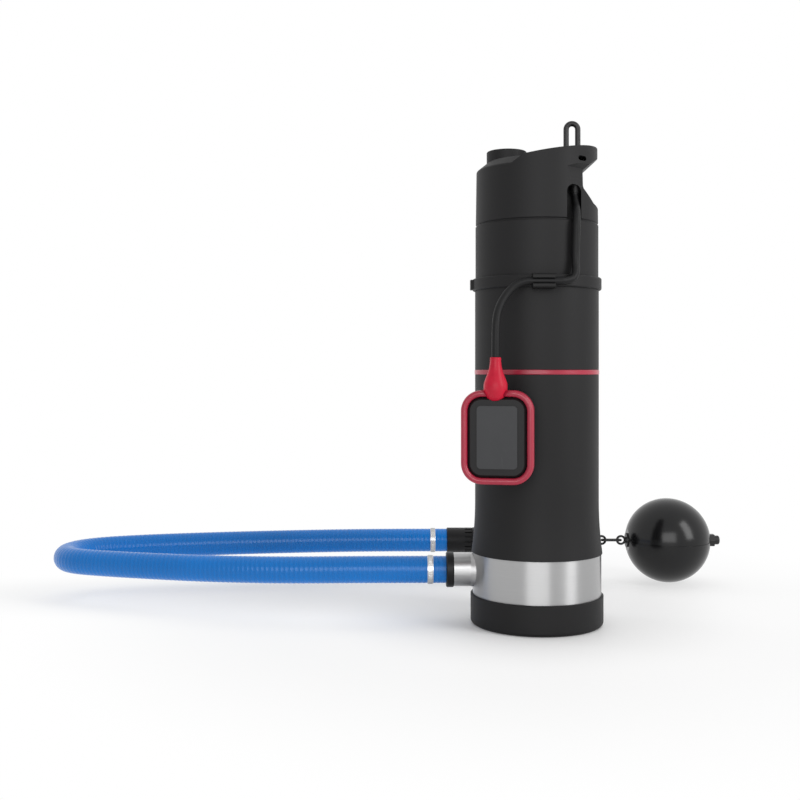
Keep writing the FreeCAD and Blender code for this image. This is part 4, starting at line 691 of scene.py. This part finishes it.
def clamp_band(name, place, radius, width, slots):
    """A clamp's band turned round X, with a groove at each worm slot.

    x = width u / 2 and r = radius + thickness * (1 - |u| ^ 10), less the slot's depth inside a slot.
    The first and the last row lie in the hose's skin and close the band's inner face.
    """
    across = np.linspace(-1, 1, 25)
    turn = around(slots * STEPS_PER_SLOT)
    swell = CLAMP_THICKNESS * (1 - np.abs(across) ** 10)
    across_slot, along_slot = np.abs(across) < CLAMP_SLOT_SPAN, np.cos(slots * turn) > CLAMP_SLOT_SPACING
    grooved = across_slot[:, None] * along_slot[None, :]
    grid_radius = radius + swell[:, None] - CLAMP_SLOT_DEPTH * grooved
    grid_radius[[0, -1]] = radius - CLAMP_SINK
    along = np.broadcast_to(across[:, None] * width / 2, grid_radius.shape)
    grid = np.stack((along, grid_radius * np.sin(turn), grid_radius * np.cos(turn)), axis=-1)
    return surface(name, grid + np.asarray(place), wrap_rows=True, flip=True)


class SUMP_OT_clamps(Operator):
    """Builds the bands of the two hose clamps, slotted for their worms"""
    bl_idname = "sump.clamps"
    bl_label = "Hose clamps"

    def execute(self, context):
        given = settings().sump_clamps
        radius = settings().sump_hose.radius
        steel = brushed_steel("clamp_steel", (0.50, 0.50, 0.505), 0.30, (2600.0, 60.0, 60.0))
        for name, place in CLAMPS:
            band = clamp_band(name, place, radius, given.width, given.slots)
            place_piece(band, steel, "wire_steel", "pump")
        return {"FINISHED"}


def boot_profile():
    """The boot's radius and height in small steps: a collar, a belly and a rounded foot."""
    return smooth_line(np.array(BOOT_OUTLINE), BOOT_STEPS)


class SUMP_OT_boot(Operator):
    """Builds the drop-shaped boot that the cable enters on the float switch"""
    bl_idname = "sump.boot"
    bl_label = "Cable boot"

    def execute(self, context):
        """A turned drop, r(u) at height h(u), pressed a little flat towards the float's face."""
        profile = boot_profile()
        profile[:, 0] = np.maximum(profile[:, 0], BOOT_TIP)
        grid = turned_grid(profile, BOOT_SIDES)
        grid[..., 1] *= BOOT_FLATNESS
        grid += np.asarray(CABLE_FREE[-1])
        boot = surface("boot_skin", grid, caps=True, flip=True)
        rubber = soft_rubber("boot_rubber", tuple(settings().sump_cable.boot_color), 0.40, 0.22)
        place_piece(boot, rubber, "boot_rubber", "float_switch", "float_boot")
        return {"FINISHED"}


def rim_section():
    """The rim's section as distance in from its edge and depth.

    It is half round in front, and has a small round edge behind.
    """
    half = RIM_WIDTH / 2
    over = np.linspace(0, np.pi, 17)
    front = np.stack((half - half * np.cos(over), RIM_FRONT + half - half * np.sin(over)), axis=1)
    under = np.linspace(0, np.pi / 2, 6)
    inward, forward = RIM_BACK_EDGE * (1 - np.sin(under)), RIM_BACK_EDGE * (1 - np.cos(under))
    back = np.stack((inward, RIM_BACK - forward), axis=1)
    return np.concatenate((front, ((RIM_WIDTH, RIM_BACK),), back))


def rim_ends(section):
    """Where each point of the rim's section meets the boot, on both sides of the boot's axis."""
    profile = boot_profile()[::-1]
    height = FLOAT_CENTRE[2] + FLOAT_HEIGHT / 2 - section[:, 0] - CABLE_FREE[-1][2]
    radius = np.interp(height, profile[:, 1], profile[:, 0])
    reach = np.sqrt(np.maximum(radius ** 2 - (section[:, 1] - BOOT_AXIS[1]) ** 2, 0)) - RIM_TUCK
    return BOOT_AXIS[0] + reach, BOOT_AXIS[0] - reach


class SUMP_OT_rim(Operator):
    """Builds the float switch's rim, open where the boot sits in it"""
    bl_idname = "sump.rim"
    bl_label = "Float switch rim"

    def execute(self, context):
        """A half-round section carried round a rounded rectangle.

        A point is its corner's centre + (corner radius - u) * (sin v, cos v), at its depth y.
        """
        section = rim_section()
        quarter = np.linspace(0, np.pi / 2, RIM_CORNER_STEPS)
        turn = np.concatenate([quarter + k * np.pi / 2 for k in range(4)])
        side = np.repeat((1, 1, -1, -1), RIM_CORNER_STEPS)
        up = np.repeat((1, -1, -1, 1), RIM_CORNER_STEPS)
        reach = FLOAT_CORNER - section[:, 0]
        x = (side * (FLOAT_WIDTH / 2 - FLOAT_CORNER))[:, None] + reach * np.sin(turn)[:, None]
        z = (up * (FLOAT_HEIGHT / 2 - FLOAT_CORNER))[:, None] + reach * np.cos(turn)[:, None]
        first, last = rim_ends(section)
        x = np.concatenate((first[None], x, last[None]))
        z = np.concatenate((z[:1], z, z[-1:]))
        grid = in_float_frame(np.stack((x, np.broadcast_to(section[:, 1], x.shape), z), axis=-1))
        rim = surface("float_rim_skin", grid, caps=True)
        plastic = gloss_plastic("rim_plastic", tuple(settings().sump_casing.accent), 0.34)
        place_piece(rim, plastic, "accent_plastic", "float_switch", "float_rim")
        return {"FINISHED"}


class SUMP_OT_outlet(Operator):
    """Builds the outlet's threaded insert"""
    bl_idname = "sump.outlet"
    bl_label = "Outlet insert"

    def execute(self, context):
        """r(s, v) = R + depth * tooth(s / pitch - v / (2 pi)) down the bore.

        tooth is a triangle wave with its tips cut flat. After the bore the surface goes out over the foot,
        up the wall and in over the rim.
        """
        turn = around(OUTLET_SIDES)
        down = np.linspace(0, OUTLET_LENGTH, int(OUTLET_LENGTH / THREAD_PITCH * STEPS_PER_THREAD) + 1)
        phase = (down[:, None] / THREAD_PITCH - turn[None, :] / (2 * np.pi)) % 1.0
        tooth = np.clip(THREAD_SLOPE * np.abs(2 * phase - 1) - THREAD_ROOT, 0, 1)
        run_out = np.minimum(down / THREAD_RUN_OUT, (OUTLET_LENGTH - down) / THREAD_RUN_OUT)
        flare = OUTLET_FLARE * np.clip(1 - down / THREAD_RUN_OUT, 0, 1)
        bore = OUTLET_BORE + THREAD_DEPTH * tooth * np.clip(run_out, 0, 1)[:, None] + flare[:, None]
        wall = np.array((OUTLET_RADIUS, OUTLET_RADIUS, OUTLET_RADIUS - OUTLET_EDGE))
        radius = np.concatenate((bore, np.broadcast_to(wall[:, None], (3, len(turn)))))
        depth = np.concatenate((down, (OUTLET_LENGTH, OUTLET_EDGE, 0.0)))
        height = np.broadcast_to((OUTLET_TOP - depth)[:, None], radius.shape)
        grid = np.stack((radius * np.cos(turn) + OUTLET_X, radius * np.sin(turn), height), axis=-1)
        piece = surface("outlet_thread", grid, wrap_rows=True, flip=True)
        brass = drawn_steel("insert_brass", BRASS, 0.28)
        place_piece(piece, brass, "insert_brass", "pump", "discharge_insert")
        return {"FINISHED"}


class SUMP_OT_spring(Operator):
    """Builds the non-return valve's spring, which shortens as the disc lifts"""
    bl_idname = "sump.spring"
    bl_label = "Valve spring"

    def execute(self, context):
        """The wire's circle carried along a helix: (R cos a, R sin a, length * a / (2 pi turns))."""
        share = np.linspace(0, 1, SPRING_TURNS * SPRING_STEPS + 1)
        angle = 2 * np.pi * SPRING_TURNS * share
        helix = (SPRING_RADIUS * np.cos(angle), SPRING_RADIUS * np.sin(angle), SPRING_LENGTH * share)
        places = np.stack(helix, axis=1) + np.asarray(SPRING_FOOT)
        radius = np.full((len(share), SPRING_SIDES), SPRING_WIRE)
        grid = carried_grid(places, unit_directions(places), radius, SPRING_SIDES, (0, 0, 1))
        spring = surface("valve_spring_wire", grid, caps=True)
        spring.data.materials.append(drawn_steel("spring_steel", BRIGHT_STEEL, 0.20))
        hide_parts("valve_spring")
        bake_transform(spring)
        return {"FINISHED"}


class SUMP_OT_line(Operator):
    """Works out points along the suction hose's route, and does nothing more with them"""
    bl_idname = "sump.line"
    bl_label = "Free hose with its strainer and ball"

    def execute(self, context):
        path = spline_stations(HOSE_ROUTE, HOSE_PATH_STEP)[0].tolist()
        return {"FINISHED"}


# Which finish each CAD piece has

def dress(nodes, material):
    """Gives a material to CAD nodes, whose meshes stay as they are."""
    for node in nodes.split():
        data = NODES[node].data
        data.materials.clear()
        data.materials.append(material)


def casing_finishes():
    """Materials for the CAD pieces that show from outside."""
    given = settings().sump_casing
    black, accent = tuple(given.black), tuple(given.accent)
    dress("base_cap lower_sleeve middle_sleeve collar_ring upper_sleeve head head_crown outlet_pipe",
          moulded_plastic("casing_plastic", black, 0.55))
    dress("float_cable_gland power_cable_gland", moulded_plastic("fittings_plastic", tint(black, 0.8), 0.44))
    dress("cable_clip", moulded_plastic("clip_plastic", tint(black, 0.35), 0.50))
    dress("hose_nut strainer_socket strainer_basket strainer_cap",
          moulded_plastic("line_plastic", tint(black, 0.70), 0.42))
    dress("float_front float_back", moulded_plastic("float_plastic", tint(black, 1.1), 0.44))
    dress("accent_band float_rim", gloss_plastic("accent_plastic", accent, 0.34))
    dress("float_panel", moulded_plastic("panel_plastic", tuple(given.panel), 0.44, 900.0, 0.00002))
    dress("suction_band", brushed_steel("band_steel", tuple(given.steel), 0.34, (40.0, 40.0, 2200.0), 0.9))
    dress("lifting_eye tether_link ball_eyebolt ball_nuts",
          coated_steel("coated_wire", (0.012, 0.012, 0.0125)))
    dress("hose_clamps cover_screws", drawn_steel("clamp_housing_steel", (0.66, 0.66, 0.66), 0.26))
    dress("ball_halves", gloss_plastic("ball_plastic", (0.006, 0.006, 0.0065), 0.20, 0.0, 0.32))


def inner_finishes():
    """Materials for the pieces inside the casing."""
    dress("motor_can inlet_tail", brushed_steel("can_steel", (0.55, 0.55, 0.56), 0.32, (60.0, 60.0, 1800.0)))
    dress("rotor_shaft shaft_nut shaft_bearings valve_spring foot_valve_spring",
          drawn_steel("shaft_steel", BRIGHT_STEEL, 0.20))
    dress("motor_covers", cast_metal("cast_iron", (0.10, 0.10, 0.105)))
    dress("stator_core rotor_core", laminated_iron("laminations", (0.30, 0.30, 0.31)))
    dress("stator_winding", wound_copper("copper_wire", (0.62, 0.24, 0.09)))
    dress("diffuser_1 diffuser_2 diffuser_3", moulded_plastic("diffuser_plastic", (0.06, 0.06, 0.065), 0.45))
    dress("impeller_1 impeller_2 impeller_3", moulded_plastic("impeller_plastic", (0.50, 0.48, 0.42), 0.42))
    dress("valve_cage", moulded_plastic("valve_plastic", (0.35, 0.35, 0.34), 0.42))
    dress("valve_disc foot_valve_disc seal_rings", soft_rubber("seal_rubber", (0.02, 0.02, 0.02)))
    dress("seal_seat seal_face", gloss_plastic("seal_ceramic", (0.72, 0.70, 0.66), 0.18, 0.0))
    dress("capacitor", brushed_steel("can_aluminium", (0.75, 0.75, 0.76), 0.34, (50.0, 50.0, 1500.0)))
    dress("control_board", circuit_board("board_green", (0.010, 0.10, 0.035)))
    dress("switch_module", moulded_plastic("switch_plastic", (0.45, 0.44, 0.40), 0.45))
    dress("tilt_ball", drawn_steel("tilt_ball_steel", (0.68, 0.68, 0.68), 0.12))


def stood_for_finishes():
    """Plain materials for the CAD pieces that new pieces stand for."""
    cable = settings().sump_cable
    dress("float_boot", soft_rubber("boot_core_rubber", tuple(cable.boot_color), 0.36))
    dress("head_cable float_cable", soft_rubber("cable_core_rubber", tuple(cable.color)))
    dress("suction_hose", gloss_plastic("hose_core", tuple(settings().sump_hose.color), 0.4, 0.0))
    dress("discharge_insert", drawn_steel("insert_core", BRASS, 0.28))


class SUMP_OT_finishes(Operator):
    """Gives every CAD piece its finish"""
    bl_idname = "sump.finishes"
    bl_label = "Casing and inner finishes"

    def execute(self, context):
        casing_finishes()
        inner_finishes()
        stood_for_finishes()
        return {"FINISHED"}


# Stage: camera, lamps, floor and white surroundings

def lamp(name, place, size, power, mirrored=True, lit=True):
    """A rectangular lamp turned to the pump, that shows in smooth surfaces, lights the matt ones, or both."""
    data = bpy.data.lights.new(name, "AREA")
    data.shape = "RECTANGLE"
    data.size, data.size_y = size
    data.energy = power
    light = bpy.data.objects.new(name, data)
    light.location = place
    direction = Vector(LAMP_AIM) - Vector(place)
    light.rotation_euler = direction.to_track_quat("-Z", "Y").to_euler()
    bpy.context.scene.collection.objects.link(light)
    light.visible_glossy = mirrored
    light.visible_diffuse = lit


def stage_camera(given):
    """A level camera on the float's side, shifted so that the horizon is where the photograph has it."""
    data = bpy.data.cameras.new("camera")
    data.lens = given.lens
    data.sensor_width = SENSOR_WIDTH
    data.shift_y = CAMERA_SHIFT
    data.clip_start = 0.02
    data.clip_end = 60.0
    camera = bpy.data.objects.new("camera", data)
    camera.location = CAMERA_PLACE
    camera.rotation_euler = (math.pi / 2, 0, 0)
    bpy.context.scene.collection.objects.link(camera)
    bpy.context.scene.camera = camera


def floor_finish(color):
    """The floor is partly a painted glow: it glows least near the base and under the hose, so that their
    shadows show there, and turns to plain white away from them.
    """
    f = Finish("floor_painted_glow")
    from_base = f.distance(*BASE_SHADE)
    from_hose = f.distance(*HOSE_SHADE, 4.0)
    # painted glow: how much the floor glows instead of taking light, held low near the base and under the
    # hose
    glow_away_from_base = f.step(from_base, 0.08, 0.27) * 0.6 + f.step(from_base, 0.30, 0.60) * 0.3 + 0.1
    painted_glow_share = glow_away_from_base * (f.step(from_hose, 0.0, 0.17) * 0.75 + 0.25)
    faint = f.noise(6.0, 2.0)
    f.surface(Base_Color=f.mix(faint * 0.02, color, (0.5, 0.5, 0.5)), Roughness=f.clamp(0.52 + faint * 0.06),
              Specular_IOR_Level=0.3)
    # the glow mixed into the floor is painted light, not a lamp
    glow = f.tree.nodes.new("ShaderNodeEmission")
    glow.inputs["Color"].default_value = (1.0, 1.0, 1.0, 1.0)
    glow.inputs["Strength"].default_value = 1.0
    blend = f.tree.nodes.new("ShaderNodeMixShader")
    f.feed(blend.inputs[0], painted_glow_share)
    f.tree.links.new(f.shader.outputs["BSDF"], blend.inputs[1])
    f.tree.links.new(glow.outputs["Emission"], blend.inputs[2])
    f.tree.links.new(blend.outputs["Shader"], f.output.inputs["Surface"])
    return f.material


def stage_floor(given):
    """A round, flat floor: (r cos v, r sin v), a hair below the base."""
    angle, rings = around(FLOOR_SIDES), np.array(FLOOR_RINGS)[:, None]
    level = np.full((len(FLOOR_RINGS), FLOOR_SIDES), -FLOOR_DROP)
    grid = np.stack((rings * np.cos(angle), rings * np.sin(angle), level), axis=-1)
    floor = surface("floor", grid + np.array(FLOOR_MIDDLE))
    floor.data.materials.append(floor_finish(tuple(given.floor)))


def white_surroundings():
    """White where the camera, a reflection or a look through sees it, and a plain level as a lamp."""
    world = bpy.data.worlds.new("surroundings")
    bpy.context.scene.world = world
    world.use_nodes = True
    tree = world.node_tree
    tree.nodes.clear()
    rays = tree.nodes.new("ShaderNodeLightPath")
    first = tree.nodes.new("ShaderNodeMath")
    first.operation = "ADD"
    tree.links.new(rays.outputs["Is Camera Ray"], first.inputs[0])
    tree.links.new(rays.outputs["Is Glossy Ray"], first.inputs[1])
    seen = tree.nodes.new("ShaderNodeMath")
    seen.operation = "ADD"
    seen.use_clamp = True
    tree.links.new(first.outputs[0], seen.inputs[0])
    tree.links.new(rays.outputs["Is Transmission Ray"], seen.inputs[1])
    level = tree.nodes.new("ShaderNodeMix")
    level.data_type = "FLOAT"
    level.inputs[2].default_value = SURROUNDINGS_LIGHT
    level.inputs[3].default_value = 1.0
    tree.links.new(seen.outputs[0], level.inputs[0])
    back = tree.nodes.new("ShaderNodeBackground")
    back.inputs["Color"].default_value = (1.0, 1.0, 1.0, 1.0)
    tree.links.new(level.outputs[0], back.inputs["Strength"])
    output = tree.nodes.new("ShaderNodeOutputWorld")
    tree.links.new(back.outputs["Background"], output.inputs["Surface"])


class SUMP_OT_stage(Operator):
    """Places the camera, the lamps, the floor and the white surroundings"""
    bl_idname = "sump.stage"
    bl_label = "Camera, light and floor"

    def execute(self, context):
        given = settings().sump_stage
        stage_camera(given)
        stage_floor(given)
        white_surroundings()
        lamp("top", (0.1, 0.5, 2.2), (2.4, 2.4), given.top, mirrored=False)
        lamp("right", (1.7, -1.1, 1.2), (0.8, 1.8), given.right)
        lamp("front", (-0.2, -2.3, 0.75), (1.7, 1.2), given.front, lit=False)
        lamp("left", (-1.9, 0.9, 0.9), (0.5, 1.6), given.left, mirrored=False)
        context.scene.view_settings.view_transform = "Standard"
        return {"FINISHED"}


# Panel, registration and the run itself

STEPS = (SUMP_OT_stage, SUMP_OT_hose, SUMP_OT_cable, SUMP_OT_clamps, SUMP_OT_boot, SUMP_OT_rim,
         SUMP_OT_outlet, SUMP_OT_spring, SUMP_OT_line, SUMP_OT_finishes)
GROUPS = {"sump_hose": HoseSettings, "sump_cable": CableSettings, "sump_casing": CasingSettings,
          "sump_clamps": ClampSettings, "sump_stage": StageSettings}


class SUMP_PT_panel(Panel):
    """Sizes, colours and steps of the pump"""
    bl_idname = "SUMP_PT_panel"
    bl_label = "Sump Pump"
    bl_space_type = "VIEW_3D"
    bl_region_type = "UI"
    bl_category = "Sump Pump"

    def draw(self, context):
        for name, group in GROUPS.items():
            box = self.layout.box()
            box.label(text=group.__doc__.rstrip("."))
            for key in group.__annotations__:
                box.prop(getattr(context.scene, name), key)
        for step in STEPS:
            self.layout.operator(step.bl_idname)


CLASSES = (*GROUPS.values(), *STEPS, SUMP_PT_panel)


def register():
    for cls in CLASSES:
        bpy.utils.register_class(cls)
    for name, group in GROUPS.items():
        setattr(bpy.types.Scene, name, PointerProperty(type=group))


def unregister():
    for name in GROUPS:
        delattr(bpy.types.Scene, name)
    for cls in reversed(CLASSES):
        bpy.utils.unregister_class(cls)


def main():
    register()
    bpy.ops.sump.stage()
    bpy.ops.sump.hose()
    bpy.ops.sump.cable()
    bpy.ops.sump.clamps()
    bpy.ops.sump.boot()
    bpy.ops.sump.rim()
    bpy.ops.sump.outlet()
    bpy.ops.sump.spring()
    bpy.ops.sump.line()
    bpy.ops.sump.finishes()


if __name__ == "__main__":
    main()
